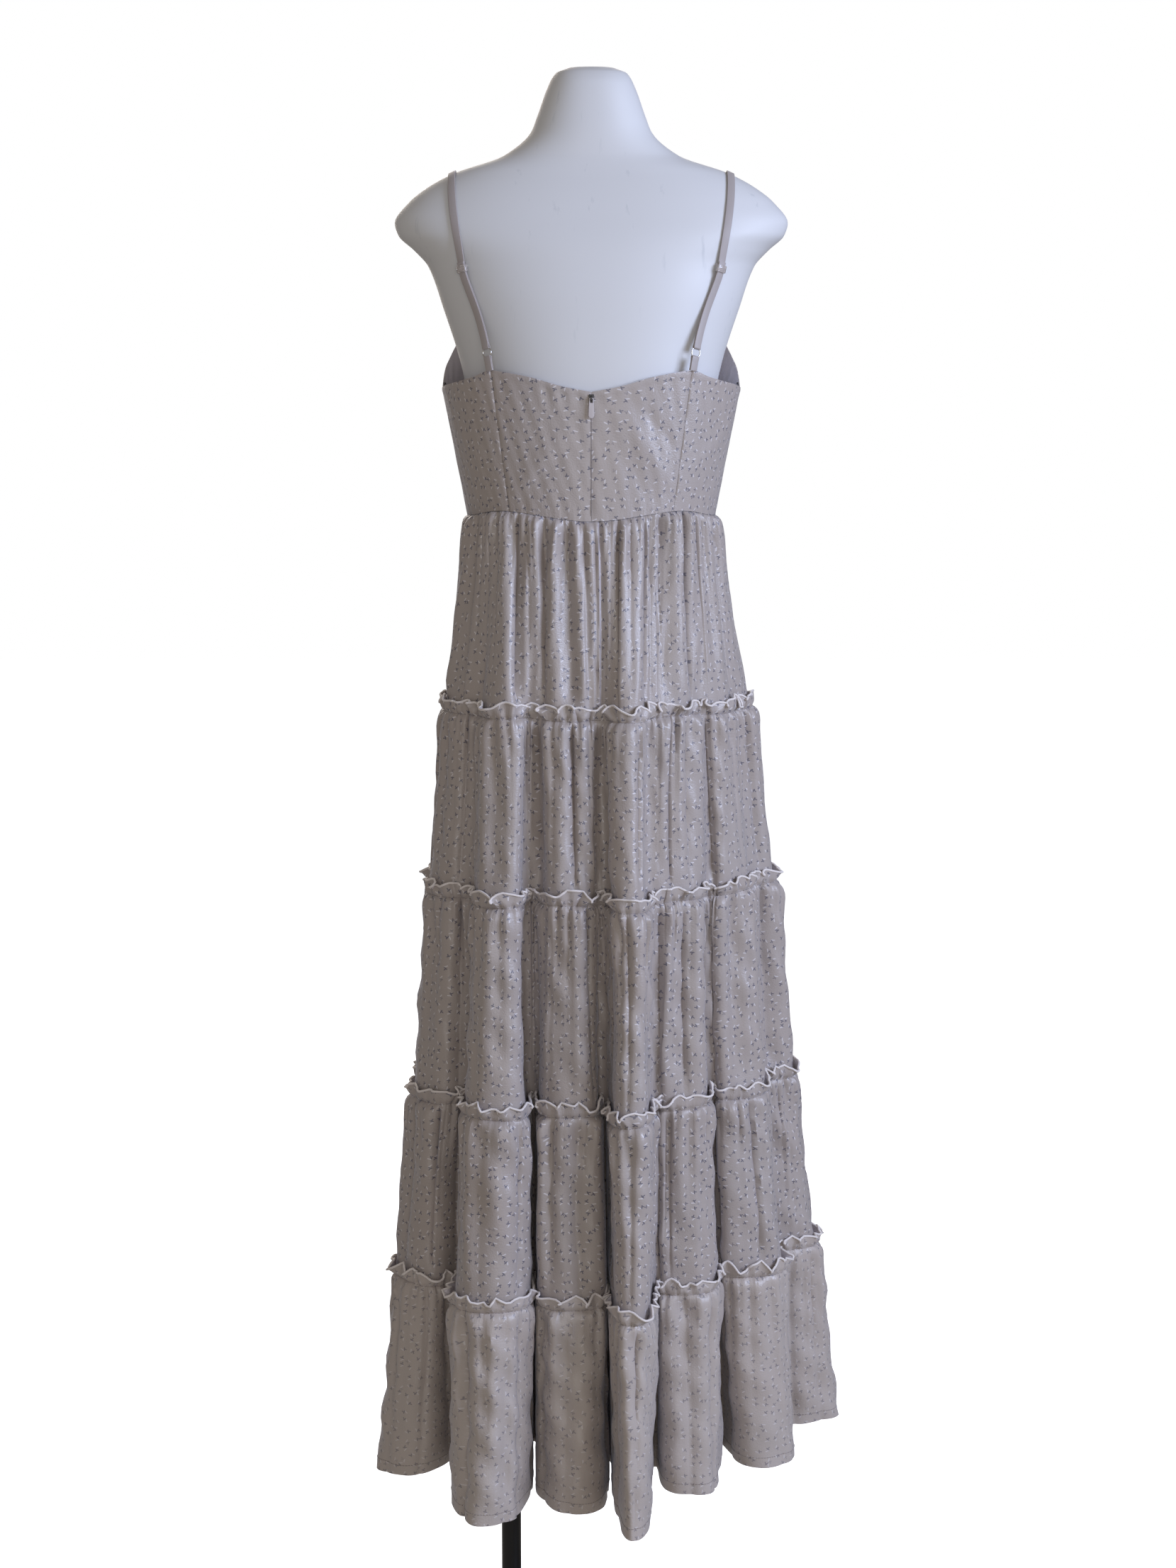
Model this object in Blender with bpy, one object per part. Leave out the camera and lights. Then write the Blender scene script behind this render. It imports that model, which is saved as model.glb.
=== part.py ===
"""A sleeveless maxi dress of five gathered tiers, worn by a limbless dress form on a pole stand.

Metres, +Z up. The origin is on the floor under the middle of the form. The back of the dress, with its
zip, faces +Y, the front faces -Y, and the wearer's left is at +X.
"""

import math
from collections import namedtuple

import bpy
import numpy as np
from mathutils import Vector
from mathutils.bvhtree import BVHTree

MM = 0.001

# Cloth and clearances
CLOTH = 1.5 * MM
SEAM_GAP = 0.3 * MM

# Edges sharper than this angle show as edges
SHARP_ANGLE_DEG = 50

# Seams of the skirt from the waist down to the hem: how far each one has spread from the waist oval to
# the hem outline, and how far its valleys have sunk towards their depth at the hem
Level = namedtuple("Level", "height spread sink")
LEVELS = (
    Level(1.241, 0.00, 0.00),
    Level(1.043, 0.27, 0.07),
    Level(0.858, 0.46, 0.16),
    Level(0.646, 0.62, 0.32),
    Level(0.455, 0.80, 0.48),
    Level(0.249, 1.00, 1.00),
)

# Organ-pipe folds, counter-clockwise from the wearer's left: the crest's place at the waist seam in
# degrees, the crest and the valley after it at the hem, and the crest's width at the hem
Fold = namedtuple("Fold", "waist_deg crest_x crest_y width valley_x valley_y")
FOLDS = (
    Fold(28, 0.214, 0.083, 0.070, 0.136, 0.050),
    Fold(50, 0.104, 0.214, 0.070, 0.060, 0.008),
    Fold(80, 0.017, 0.190, 0.063, -0.016, 0.040),
    Fold(105, -0.042, 0.254, 0.029, -0.067, 0.074),
    Fold(127, -0.106, 0.143, 0.048, -0.140, 0.010),
    Fold(148, -0.190, 0.070, 0.060, -0.198, -0.030),
    Fold(175, -0.270, -0.084, 0.052, -0.152, -0.090),
    Fold(200, -0.208, -0.182, 0.058, -0.116, -0.120),
    Fold(225, -0.122, -0.236, 0.060, -0.074, -0.100),
    Fold(250, -0.036, -0.262, 0.056, 0.004, -0.108),
    Fold(275, 0.046, -0.238, 0.052, 0.084, -0.096),
    Fold(300, 0.126, -0.228, 0.058, 0.128, -0.086),
    Fold(325, 0.200, -0.146, 0.056, 0.146, -0.056),
    Fold(352, 0.215, -0.034, 0.054, 0.152, 0.006),
)
COLUMNS_PER_HALF_FOLD = 5
COLUMNS = 2 * COLUMNS_PER_HALF_FOLD * len(FOLDS)
VALLEY_HANDLE = 13 * MM
CREST_HANDLE_SHARE = 0.95
SHALLOW_HANDLE_SHARE = 0.45

# Gathers: four columns make one wave
COLUMNS_PER_WAVE = 4
HEADING = 12 * MM
HEADING_CLEARANCE = 2.0 * MM
HEADING_WAVE = 7.0 * MM
WAIST_GATHER = 2.5 * MM
WAIST_GATHER_DROP = 35 * MM
TIER_GATHER = 3.0 * MM
TIER_PUFF = 2.0 * MM
TIER_GATHER_DROP = 22 * MM
TIER_OVERLAP = 1.0 * MM
ROOM_SHARE = 0.38
CREASE_SHARE = 0.6
STAND_OFF_SLOPE = 0.5
STAND_OFF_PASSES = 4
SHARPEST_CORNER = 0.2
WAVE_MEAN = 0.72
WAVE_SWING = 0.28
WAVE_QUICK = 2.1
WAVE_SLOW = 0.7

# Cut of the tiers: the columns where each one is seamed
LEFT_SIDE_SEAM = COLUMNS - COLUMNS_PER_HALF_FOLD
RIGHT_SIDE_SEAM = 65
CENTRE_BACK_SEAM = 25
HEM_PANEL_SEAM = 42
Panel = namedtuple("Panel", "name first last")

# Bodice
BODICE_BOTTOM = LEVELS[0].height + SEAM_GAP
BODICE_ROWS = 6
OVAL_POWER = 2.2
Oval = namedtuple("Oval", "half_width front back")
WAIST_OVAL = Oval(0.1265, 0.102, 0.096)
BUST_OVAL = Oval(0.1550, 0.116, 0.101)
BUST_LEVEL = 1.386
TopEdge = namedtuple("TopEdge", "degrees height")
TOP_EDGE = (
    TopEdge(-90, 1.402),
    TopEdge(-70, 1.414),
    TopEdge(-50, 1.440),
    TopEdge(-20, 1.396),
    TopEdge(0, 1.370),
    TopEdge(25, 1.3742),
    TopEdge(42, 1.3798),
    TopEdge(52, 1.386),
    TopEdge(60, 1.3836),
    TopEdge(70, 1.3786),
    TopEdge(80, 1.3708),
    TopEdge(90, 1.365),
)
STRAP_BACK_DEG = 52
STRAP_FRONT_DEG = -50
CUP_DEG = -58
CUP_HEIGHT = 1.335
CUP_SPREAD_DEG = 24
CUP_SPREAD_HEIGHT = 0.045
CUP_RISE = 14 * MM
BodicePanel = namedtuple("BodicePanel", "name first_deg last_deg columns")
BODICE_PANELS = (
    BodicePanel("bodice_back_side_left", 0, 52, 6),
    BodicePanel("bodice_back_centre_left", 52, 90, 5),
    BodicePanel("bodice_back_centre_right", 90, 128, 5),
    BodicePanel("bodice_back_side_right", 128, 180, 6),
    BodicePanel("bodice_front_side_right", 180, 230, 6),
    BodicePanel("bodice_front_centre", 230, 310, 10),
    BodicePanel("bodice_front_side_left", 310, 360, 6),
)

# Dress form: half width, and how far it reaches to the front and to the back
FormRow = namedtuple("FormRow", "height half_width front back")
FORM_ROWS = (
    FormRow(0.930, 0.1180, 0.076, 0.080),
    FormRow(0.938, 0.1290, 0.086, 0.090),
    FormRow(0.960, 0.1340, 0.091, 0.096),
    FormRow(1.040, 0.1250, 0.088, 0.089),
    FormRow(1.130, 0.1080, 0.083, 0.078),
    FormRow(1.241, 0.1120, 0.088, 0.086),
    FormRow(1.330, 0.1200, 0.100, 0.090),
    FormRow(1.393, 0.1321, 0.098, 0.093),
    FormRow(1.450, 0.1500, 0.090, 0.092),
    FormRow(1.491, 0.1647, 0.080, 0.087),
    FormRow(1.507, 0.1789, 0.076, 0.084),
    FormRow(1.522, 0.1949, 0.070, 0.079),
    FormRow(1.534, 0.1983, 0.064, 0.074),
    FormRow(1.554, 0.1842, 0.055, 0.066),
    FormRow(1.569, 0.1650, 0.048, 0.059),
    FormRow(1.583, 0.1383, 0.043, 0.052),
    FormRow(1.600, 0.0888, 0.040, 0.046),
    FormRow(1.623, 0.0611, 0.043, 0.044),
    FormRow(1.638, 0.0548, 0.043, 0.042),
    FormRow(1.669, 0.0432, 0.040, 0.036),
    FormRow(1.681, 0.0360, 0.034, 0.028),
    FormRow(1.686, 0.0240, 0.023, 0.018),
)
FORM_COLUMNS = 36
FORM_POWER = 2.3

# Stand
POLE_X = 0.087
POLE_Y = -0.030
POLE_RADIUS = 10.5 * MM
POLE_SIDES = 24
BASE_RADIUS = 0.180
BASE_THICKNESS = 8 * MM
BASE_BEVEL = 1.5 * MM
BASE_SIDES = 48
COLLAR_RADIUS = 19 * MM
COLLAR_HEIGHT = 22 * MM

# Shoulder straps: x where the strap passes each height, from the bodice over the shoulder
STRAP_WIDTH = 8 * MM
STRAP_THICKNESS = 1.5 * MM
STRAP_DOUBLED = 3.2 * MM
STRAP_POINTS = 120
STRAP_STEP = 2
STRAP_SIDE_POINTS = 60
STRAP_SMOOTHING = 12
STRAP_SEAT_SPAN = (-2, -1, 0, 1, 2)
STRAP_DOUBLED_PAST_SLIDER = 2
NORMAL_STEP = 0.5 * MM
SHOULDER_SEARCH = (1.534, 1.600)
StrapKnot = namedtuple("StrapKnot", "height x")
STRAP_BACK = (
    StrapKnot(1.386, 0.0935),
    StrapKnot(1.403, 0.0970),
    StrapKnot(1.486, 0.1257),
    StrapKnot(1.560, 0.1380),
)
STRAP_TOP_X = 0.1390
STRAP_FRONT = (StrapKnot(1.440, 0.1000), StrapKnot(1.490, 0.1220), StrapKnot(1.560, 0.1380))
STRAP_LIFT_LENGTH = 0.070
STRAP_EDGE_GAP = 1.0 * MM
STRAP_SEAT = 0.5 * MM
STRAP_SEAT_REACH = 2.0 * MM
RING_RADIUS = 5.0 * MM
RING_WIRE = 0.65 * MM
RING_SIDES = 16
RING_WIRE_SIDES = 6
RING_RAISE = 0.4 * MM
RING_HEIGHT = 1.4035
SLIDER_HEIGHT = 1.486
SLIDER_LENGTH = 7.0 * MM
SLIDER_WALL = 0.8 * MM
SLIDER_PLAY = 0.4 * MM
SLIDER_LIFT = SLIDER_WALL + SLIDER_PLAY + 0.5 * MM
SLIDER_HUMP_POINTS = 5

# Zip slider and its pull, which swings about the bar at the top of its window
ZIP_HEIGHT = 1.3585
SLIDER_BODY_HALF_WIDTH = 2.5 * MM
SLIDER_BODY_DEPTH = 1.6 * MM
SLIDER_BODY_HALF_HEIGHT = 4.0 * MM
BRIDGE_HALF_WIDTH = 0.7 * MM
BRIDGE_ROOT = 0.5 * MM
BRIDGE_HALF_HEIGHT = 2.6 * MM
BRIDGE_REACH = 2.7 * MM
BRIDGE_THICKNESS = 0.8 * MM
PULL_BAR_REACH = 1.0 * MM
PULL_TIP_SHOULDER = 0.7
PULL_THICKNESS = 0.9 * MM
PULL_WINDOW_HALF_WIDTH = 1.3 * MM
PULL_WINDOW_HEIGHT = 3.8 * MM
PULL_EYE_HALF_WIDTH = 2.3 * MM
PULL_TIP_HALF_WIDTH = 2.9 * MM
PULL_LENGTH = 20.0 * MM


def clear_scene():
    """Removes whatever the file already holds."""
    for item in list(bpy.data.objects):
        bpy.data.objects.remove(item, do_unlink=True)


def material(name, colour, roughness, metallic=0.0):
    """Returns a Principled material of one colour."""
    made = bpy.data.materials.new(name)
    made.use_nodes = True
    shader = made.node_tree.nodes["Principled BSDF"]
    shader.inputs["Base Color"].default_value = (*colour, 1.0)
    shader.inputs["Roughness"].default_value = roughness
    shader.inputs["Metallic"].default_value = metallic
    return made


def add_object(name, points, faces, finish):
    """Adds a mesh object whose place is in its mesh."""
    mesh = bpy.data.meshes.new(name)
    mesh.from_pydata([tuple(float(value) for value in point) for point in points], [], faces)
    mesh.materials.append(finish)
    mesh.shade_smooth()
    mesh.set_sharp_from_angle(angle=math.radians(SHARP_ANGLE_DEG))
    made = bpy.data.objects.new(name, mesh)
    bpy.context.scene.collection.objects.link(made)
    return made


def wall_faces(rows, columns):
    """Returns the faces between an outer and an inner grid, rows downwards and columns to the left."""
    inner = rows * columns
    end = columns - 1
    faces = []
    for column in range(end):
        after = column + 1
        for row in range(rows - 1):
            top, low = row * columns, (row + 1) * columns
            first, second, third, fourth = top + column, low + column, low + after, top + after
            faces.append((first, second, third, fourth))
            # The inner face starts at the same corner, so that both split along the same diagonal
            faces.append((inner + first, inner + fourth, inner + third, inner + second))
        low = (rows - 1) * columns
        faces.append((column, after, inner + after, inner + column))
        faces.append((low + after, low + column, inner + low + column, inner + low + after))
    for row in range(rows - 1):
        top, low = row * columns, (row + 1) * columns
        faces.append((top, inner + top, inner + low, low))
        faces.append((top + end, low + end, inner + low + end, inner + top + end))
    return faces


def add_wall(name, outer, inner, finish):
    """Adds the closed wall between two grids of points."""
    rows, columns = outer.shape[:2]
    points = np.concatenate((outer.reshape(-1, 3), inner.reshape(-1, 3)))
    return add_object(name, points, wall_faces(rows, columns), finish)


def smooth_value(x, knots, values):
    """Returns a curve's value at x, with no overshoot between its knots."""
    knots = np.asarray(knots, float)
    values = np.asarray(values, float)
    steps = np.diff(knots)
    slopes = np.diff(values) / steps
    tangents = np.zeros(len(knots))
    tangents[0], tangents[-1] = slopes[0], slopes[-1]
    for index in range(1, len(knots) - 1):
        before, after = slopes[index - 1], slopes[index]
        if before * after > 0:
            tangents[index] = 2 * before * after / (before + after)
    place = np.clip(np.searchsorted(knots, x) - 1, 0, len(steps) - 1)
    part = np.clip((x - knots[place]) / steps[place], 0.0, 1.0)
    step = steps[place]
    rest = 1 - part
    return (
        values[place] * (1 + 2 * part) * rest**2
        + tangents[place] * step * part * rest**2
        + values[place + 1] * part**2 * (3 - 2 * part)
        - tangents[place + 1] * step * part**2 * rest
    )


def oval_point(degrees, oval, power):
    """Returns x and y on an oval whose front and back reach differ."""
    angle = np.radians(degrees)
    cosine, sine = np.cos(angle), np.sin(angle)
    reach = np.where(sine < 0, oval.front, oval.back)
    x = oval.half_width * np.sign(cosine) * np.abs(cosine) ** (2 / power)
    y = reach * np.sign(sine) * np.abs(sine) ** (2 / power)
    return np.stack((x, y), axis=-1)


def unit(vectors):
    """Returns vectors of length one."""
    return vectors / np.linalg.norm(vectors, axis=-1, keepdims=True)


def outward(points):
    """Returns a closed counter-clockwise outline's outward normals, halfway between those of its edges."""
    ahead = unit(np.roll(points, -1, axis=0) - points)
    along = ahead + np.roll(ahead, 1, axis=0)
    return unit(np.stack((along[:, 1], -along[:, 0]), axis=-1))


def corner_stretch(points):
    """Returns how much further a corner has to be moved than its edges, to keep a wall's thickness."""
    ahead = unit(np.roll(points, -1, axis=0) - points)
    turn = np.sum(ahead * np.roll(ahead, 1, axis=0), axis=1)
    return 1 / np.sqrt(np.maximum((1 + turn) / 2, SHARPEST_CORNER))


def fold_columns():
    """Returns the folds' columns of numbers as arrays."""
    return [np.array(column, float) for column in zip(*FOLDS)]


def waist_degrees():
    """Returns the angle of each column of cloth at the waist seam."""
    crest = fold_columns()[0]
    following = np.append(crest[1:], crest[0] + 360)
    knots = np.stack((crest, (crest + following) / 2), axis=-1).ravel()
    knots = np.append(knots, crest[0] + 360)
    return np.interp(np.arange(COLUMNS) / COLUMNS_PER_HALF_FOLD, np.arange(len(knots)), knots)


def bezier(start, start_handle, end_handle, end, part):
    """Returns a point of a cubic curve."""
    rest = 1 - part
    near = rest**3 * start + 3 * rest**2 * part * start_handle
    return near + 3 * rest * part**2 * end_handle + part**3 * end


def level_plan(level):
    """Returns the cloth's outline in plan at one seam, a crest every second half fold."""
    degrees = waist_degrees()
    waist = oval_point(degrees, WAIST_OVAL, OVAL_POWER)
    if level.spread == 0:
        return waist
    _, crest_x, crest_y, width, valley_x, valley_y = fold_columns()
    half = COLUMNS_PER_HALF_FOLD
    hem_crest = np.stack((crest_x, crest_y), axis=-1)
    hem_valley = np.stack((valley_x, valley_y), axis=-1)
    hem_edge = (hem_crest + np.roll(hem_crest, -1, axis=0)) / 2
    crest = waist[:: 2 * half] * (1 - level.spread) + hem_crest * level.spread
    valley = waist[half :: 2 * half] * (1 - level.spread) + hem_edge * level.spread
    valley = valley + level.sink * (hem_valley - hem_edge)
    oval_out = outward(waist)
    lean = min(1.0, 2 * level.sink)
    crest_out = unit(crest - (valley + np.roll(valley, 1, axis=0)) / 2)
    crest_out = unit(oval_out[:: 2 * half] * (1 - lean) + crest_out * lean)
    valley_out = unit((crest + np.roll(crest, -1, axis=0)) / 2 - valley)
    valley_out = unit(oval_out[half :: 2 * half] * (1 - lean) + valley_out * lean)
    points = np.zeros((COLUMNS, 2))
    for fold in range(len(FOLDS)):
        after = (fold + 1) % len(FOLDS)
        for side, (start, end) in enumerate(((crest[fold], valley[fold]), (valley[fold], crest[after]))):
            crest_fold = fold if side == 0 else after
            shallow = SHALLOW_HANDLE_SHARE * np.linalg.norm(end - start)
            crest_handle = shallow * (1 - lean) + CREST_HANDLE_SHARE * width[crest_fold] * lean
            valley_handle = shallow * (1 - lean) + VALLEY_HANDLE * lean
            crest_along = np.array((-crest_out[crest_fold][1], crest_out[crest_fold][0]))
            valley_along = np.array((-valley_out[fold][1], valley_out[fold][0]))
            first, second = (crest_along * crest_handle, valley_along * valley_handle)
            if side == 1:
                first, second = second, first
            for step in range(half):
                column = (2 * fold + side) * half + step
                points[column] = bezier(start, start + first, end - second, end, step / half)
    return points


def plan_at(height, plans):
    """Returns the cloth's outline at any height, straight between two seams."""
    heights = [level.height for level in LEVELS]
    upper = 0
    while upper < len(LEVELS) - 2 and height < heights[upper + 1]:
        upper += 1
    part = (heights[upper] - height) / (heights[upper] - heights[upper + 1])
    return plans[upper] * (1 - part) + plans[upper + 1] * part


def room(plan):
    """Returns how far each column can move outwards before it meets the cloth across its valley."""
    ahead = np.roll(plan, -1, axis=0) - plan
    away = outward(plan)
    start = plan[None, :, :] - plan[:, None, :]
    turn = away[:, None, 0] * ahead[None, :, 1] - away[:, None, 1] * ahead[None, :, 0]
    turn = np.where(np.abs(turn) < 1e-12, 1e-12, turn)
    along_ray = (start[:, :, 0] * ahead[None, :, 1] - start[:, :, 1] * ahead[None, :, 0]) / turn
    along_cloth = (start[:, :, 0] * away[:, None, 1] - start[:, :, 1] * away[:, None, 0]) / turn
    meets = (along_ray > CLOTH) & (along_cloth >= 0) & (along_cloth <= 1)
    return np.where(meets, along_ray, 1.0).min(axis=1)


def crease_room(plan):
    """Returns how far each column can move outwards before it crosses the path of one beside it."""
    away = outward(plan)
    ahead = np.roll(plan, -1, axis=0) - plan
    closing = -np.sum(ahead * (np.roll(away, -1, axis=0) - away), axis=1)
    reach = np.where(closing > 0, np.sum(ahead**2, axis=1) / np.maximum(closing, 1e-9), 1.0)
    return np.minimum(reach, np.roll(reach, 1))


def without_jumps(stand_off, plan):
    """Returns stand-offs that change no faster from column to column than the slope allows."""
    step = STAND_OFF_SLOPE * np.linalg.norm(np.roll(plan, -1, axis=0) - plan, axis=1)
    for _ in range(STAND_OFF_PASSES):
        stand_off = np.minimum(stand_off, np.roll(stand_off, -1) + step)
        stand_off = np.minimum(stand_off, np.roll(stand_off + step, 1))
    return stand_off


def waves(seed):
    """Returns a height from 0 to 1 for each column, four columns to a wave, uneven from wave to wave."""
    columns = np.arange(COLUMNS)
    wave = columns // COLUMNS_PER_WAVE
    uneven = WAVE_MEAN + WAVE_SWING * np.sin(WAVE_QUICK * wave + seed) * np.cos(WAVE_SLOW * wave + 2 * seed)
    rise = 0.5 + 0.5 * np.sin(2 * math.pi * columns / COLUMNS_PER_WAVE)
    return rise * uneven


def tier_rows(tier):
    """Returns each row of a tier, from the top: its height and how far its outer face stands off the plan."""
    top = LEVELS[tier].height
    last = tier == len(LEVELS) - 2
    bottom = LEVELS[tier + 1].height - (0.0 if last else TIER_OVERLAP)
    flat = np.zeros(COLUMNS)
    if tier == 0:
        return (
            (top, flat),
            (top - WAIST_GATHER_DROP, WAIST_GATHER * waves(tier)),
            (bottom, flat),
        )
    seated = SEAM_GAP + CLOTH + flat
    return (
        (top + HEADING, seated + HEADING_CLEARANCE + HEADING_WAVE * waves(tier)),
        (top, seated),
        (top - TIER_GATHER_DROP, seated + TIER_PUFF + TIER_GATHER * waves(tier)),
        (bottom, flat),
    )


def tier_surface(tier, depth, plans):
    """Returns a tier's grid of points, depth under its outer face."""
    rows = []
    for height, stand_off in tier_rows(tier):
        plan = plan_at(height, plans)
        stand_off = np.minimum(stand_off, ROOM_SHARE * room(plan))
        stretch = corner_stretch(plan)
        stand_off = np.minimum(stand_off, CREASE_SHARE * crease_room(plan) / stretch)
        stand_off = without_jumps(stand_off, plan)
        plan = plan + outward(plan) * ((stand_off - depth) * stretch)[:, None]
        rows.append(np.column_stack((plan, np.full(COLUMNS, height))))
    return np.array(rows)


def cut_panel(surface, first, last):
    """Returns the columns from first to last, with half a seam's gap taken off both ends."""
    count = (last - first) % COLUMNS
    picked = surface[:, (first + np.arange(count + 1)) % COLUMNS].copy()
    for end, beside in ((0, 1), (-1, -2)):
        along = unit(picked[:, beside] - picked[:, end])
        picked[:, end] += along * SEAM_GAP / 2
    return picked


def tier_panels(tier):
    """Returns the panels that a tier is sewn from."""
    name = f"tier_{tier + 1}"
    front = Panel(f"{name}_front", RIGHT_SIDE_SEAM, LEFT_SIDE_SEAM)
    if tier == 0:
        split = CENTRE_BACK_SEAM
    elif tier == len(LEVELS) - 2:
        split = HEM_PANEL_SEAM
    else:
        return (front, Panel(f"{name}_back", LEFT_SIDE_SEAM, RIGHT_SIDE_SEAM))
    left = Panel(f"{name}_back_left", LEFT_SIDE_SEAM, split)
    return (front, left, Panel(f"{name}_back_right", split, RIGHT_SIDE_SEAM))


def build_skirt(finish):
    """Builds the five tiers, each from its sewn panels."""
    plans = [level_plan(level) for level in LEVELS]
    for tier in range(len(LEVELS) - 1):
        outer = tier_surface(tier, 0.0, plans)
        inner = tier_surface(tier, CLOTH, plans)
        for panel in tier_panels(tier):
            add_wall(
                panel.name,
                cut_panel(outer, panel.first, panel.last),
                cut_panel(inner, panel.first, panel.last),
                finish,
            )


def fold_side(degrees):
    """Returns an angle as one of the wearer's left half, from -90 at the front to 90 at the back."""
    turned = (degrees + 180) % 360 - 180
    if turned > 90:
        return 180 - turned
    if turned < -90:
        return -180 - turned
    return turned


def bodice_top(degrees):
    """Returns the height of the bodice's top edge at an angle."""
    half = fold_side(degrees)
    return float(smooth_value(half, [edge.degrees for edge in TOP_EDGE], [edge.height for edge in TOP_EDGE]))


def bodice_point(degrees, height, depth):
    """Returns a point of the bodice, depth under its outer face."""
    share = (height - LEVELS[0].height) / (BUST_LEVEL - LEVELS[0].height)
    oval = Oval(*(low + (high - low) * share - depth for low, high in zip(WAIST_OVAL, BUST_OVAL)))
    x, y = oval_point(degrees, oval, OVAL_POWER)
    aside = (fold_side(degrees) - CUP_DEG) / CUP_SPREAD_DEG
    above = (height - CUP_HEIGHT) / CUP_SPREAD_HEIGHT
    rise = CUP_RISE * math.exp(-(aside**2) - above**2)
    if y < 0:
        away = unit(np.array((x, y)))
        x, y = np.array((x, y)) + away * rise
    return np.array((x, y, height))


def bodice_grid(panel, depth):
    """Returns a bodice panel's grid of points."""
    grid = np.zeros((BODICE_ROWS, panel.columns + 1, 3))
    for column, degrees in enumerate(np.linspace(panel.first_deg, panel.last_deg, panel.columns + 1)):
        for row, part in enumerate(np.linspace(0, 1, BODICE_ROWS)):
            height = bodice_top(degrees) * (1 - part) + BODICE_BOTTOM * part
            grid[row, column] = bodice_point(degrees, height, depth)
    for end, beside in ((0, 1), (-1, -2)):
        along = unit(grid[:, beside] - grid[:, end])
        grid[:, end] += along * SEAM_GAP / 2
    return grid


def build_bodice(finish):
    """Builds the bodice from its seven panels."""
    for panel in BODICE_PANELS:
        add_wall(panel.name, bodice_grid(panel, 0.0), bodice_grid(panel, CLOTH), finish)


def form_oval(height):
    """Returns the dress form's section at a height."""
    heights, *columns = zip(*FORM_ROWS)
    return Oval(*(float(smooth_value(height, heights, values)) for values in columns))


def form_mesh():
    """Returns the dress form as one closed loft with a flat underside."""
    degrees = np.arange(FORM_COLUMNS) * 360 / FORM_COLUMNS
    rings = []
    for row in reversed(FORM_ROWS):
        plan = oval_point(degrees, Oval(*row[1:]), FORM_POWER)
        rings.append(np.column_stack((plan, np.full(FORM_COLUMNS, row.height))))
    points = np.concatenate(rings)
    faces = []
    for row in range(len(FORM_ROWS) - 1):
        top, low = row * FORM_COLUMNS, (row + 1) * FORM_COLUMNS
        for column in range(FORM_COLUMNS):
            after = (column + 1) % FORM_COLUMNS
            faces.append((top + column, low + column, low + after, top + after))
    underside = (len(FORM_ROWS) - 1) * FORM_COLUMNS
    faces.append(tuple(range(FORM_COLUMNS)))
    faces.append(tuple(underside + column for column in reversed(range(FORM_COLUMNS))))
    return points, faces


def turned_faces(rings, sides):
    """Returns the faces of a turned solid whose rings run from the bottom up."""
    faces = []
    for ring in range(rings - 1):
        low, top = ring * sides, (ring + 1) * sides
        for side in range(sides):
            after = (side + 1) % sides
            faces.append((low + side, low + after, top + after, top + side))
    faces.append(tuple(reversed(range(sides))))
    faces.append(tuple((rings - 1) * sides + side for side in range(sides)))
    return faces


def add_turned(name, profile, centre, sides, finish):
    """Adds a turned solid from its profile of radius and height pairs, bottom to top."""
    points = []
    for radius, height in profile:
        for side in range(sides):
            angle = 2 * math.pi * side / sides
            x = centre[0] + radius * math.cos(angle)
            y = centre[1] + radius * math.sin(angle)
            points.append((x, y, height))
    return add_object(name, points, turned_faces(len(profile), sides), finish)


def build_stand(finish):
    """Builds the round base, the collar that holds the pole, and the pole up to the form's underside."""
    base_profile = (
        (BASE_RADIUS, 0.0),
        (BASE_RADIUS, BASE_THICKNESS - BASE_BEVEL),
        (BASE_RADIUS - BASE_BEVEL, BASE_THICKNESS),
    )
    add_turned("stand_base", base_profile, (0.0, 0.0), BASE_SIDES, finish)
    centre = (POLE_X, POLE_Y)
    pole_foot = BASE_THICKNESS + SEAM_GAP
    pole_top = FORM_ROWS[0].height - SEAM_GAP
    pole_profile = (
        (COLLAR_RADIUS, pole_foot),
        (COLLAR_RADIUS, pole_foot + COLLAR_HEIGHT - BASE_BEVEL),
        (COLLAR_RADIUS - BASE_BEVEL, pole_foot + COLLAR_HEIGHT),
        (POLE_RADIUS, pole_foot + COLLAR_HEIGHT),
        (POLE_RADIUS, pole_top),
    )
    add_turned("stand_pole", pole_profile, centre, POLE_SIDES, finish)


def form_normal(point):
    """Returns the outward direction of the form's skin near a point."""
    step = NORMAL_STEP

    def field(x, y, z):
        oval = form_oval(z)
        reach = oval.front if y < 0 else oval.back
        return (abs(x) / oval.half_width) ** FORM_POWER + (abs(y) / reach) ** FORM_POWER

    x, y, z = point
    slope = np.array((
        field(x + step, y, z) - field(x - step, y, z),
        field(x, y + step, z) - field(x, y - step, z),
        field(x, y, z + step) - field(x, y, z - step),
    ))
    return unit(slope)


def skin_reach(x, height, back):
    """Returns how far the form's skin reaches to the back or the front at a place."""
    oval = form_oval(height)
    reach = oval.back if back else oval.front
    inside = max(0.0, 1 - (abs(x) / oval.half_width) ** FORM_POWER)
    return (1 if back else -1) * reach * inside ** (1 / FORM_POWER)


def shoulder_top():
    """Returns the height at which the form is as wide as the straps' highest place."""
    low, high = SHOULDER_SEARCH
    while high - low > 0.01 * MM:
        middle = (low + high) / 2
        if form_oval(middle).half_width > STRAP_TOP_X:
            low = middle
        else:
            high = middle
    return low


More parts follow.
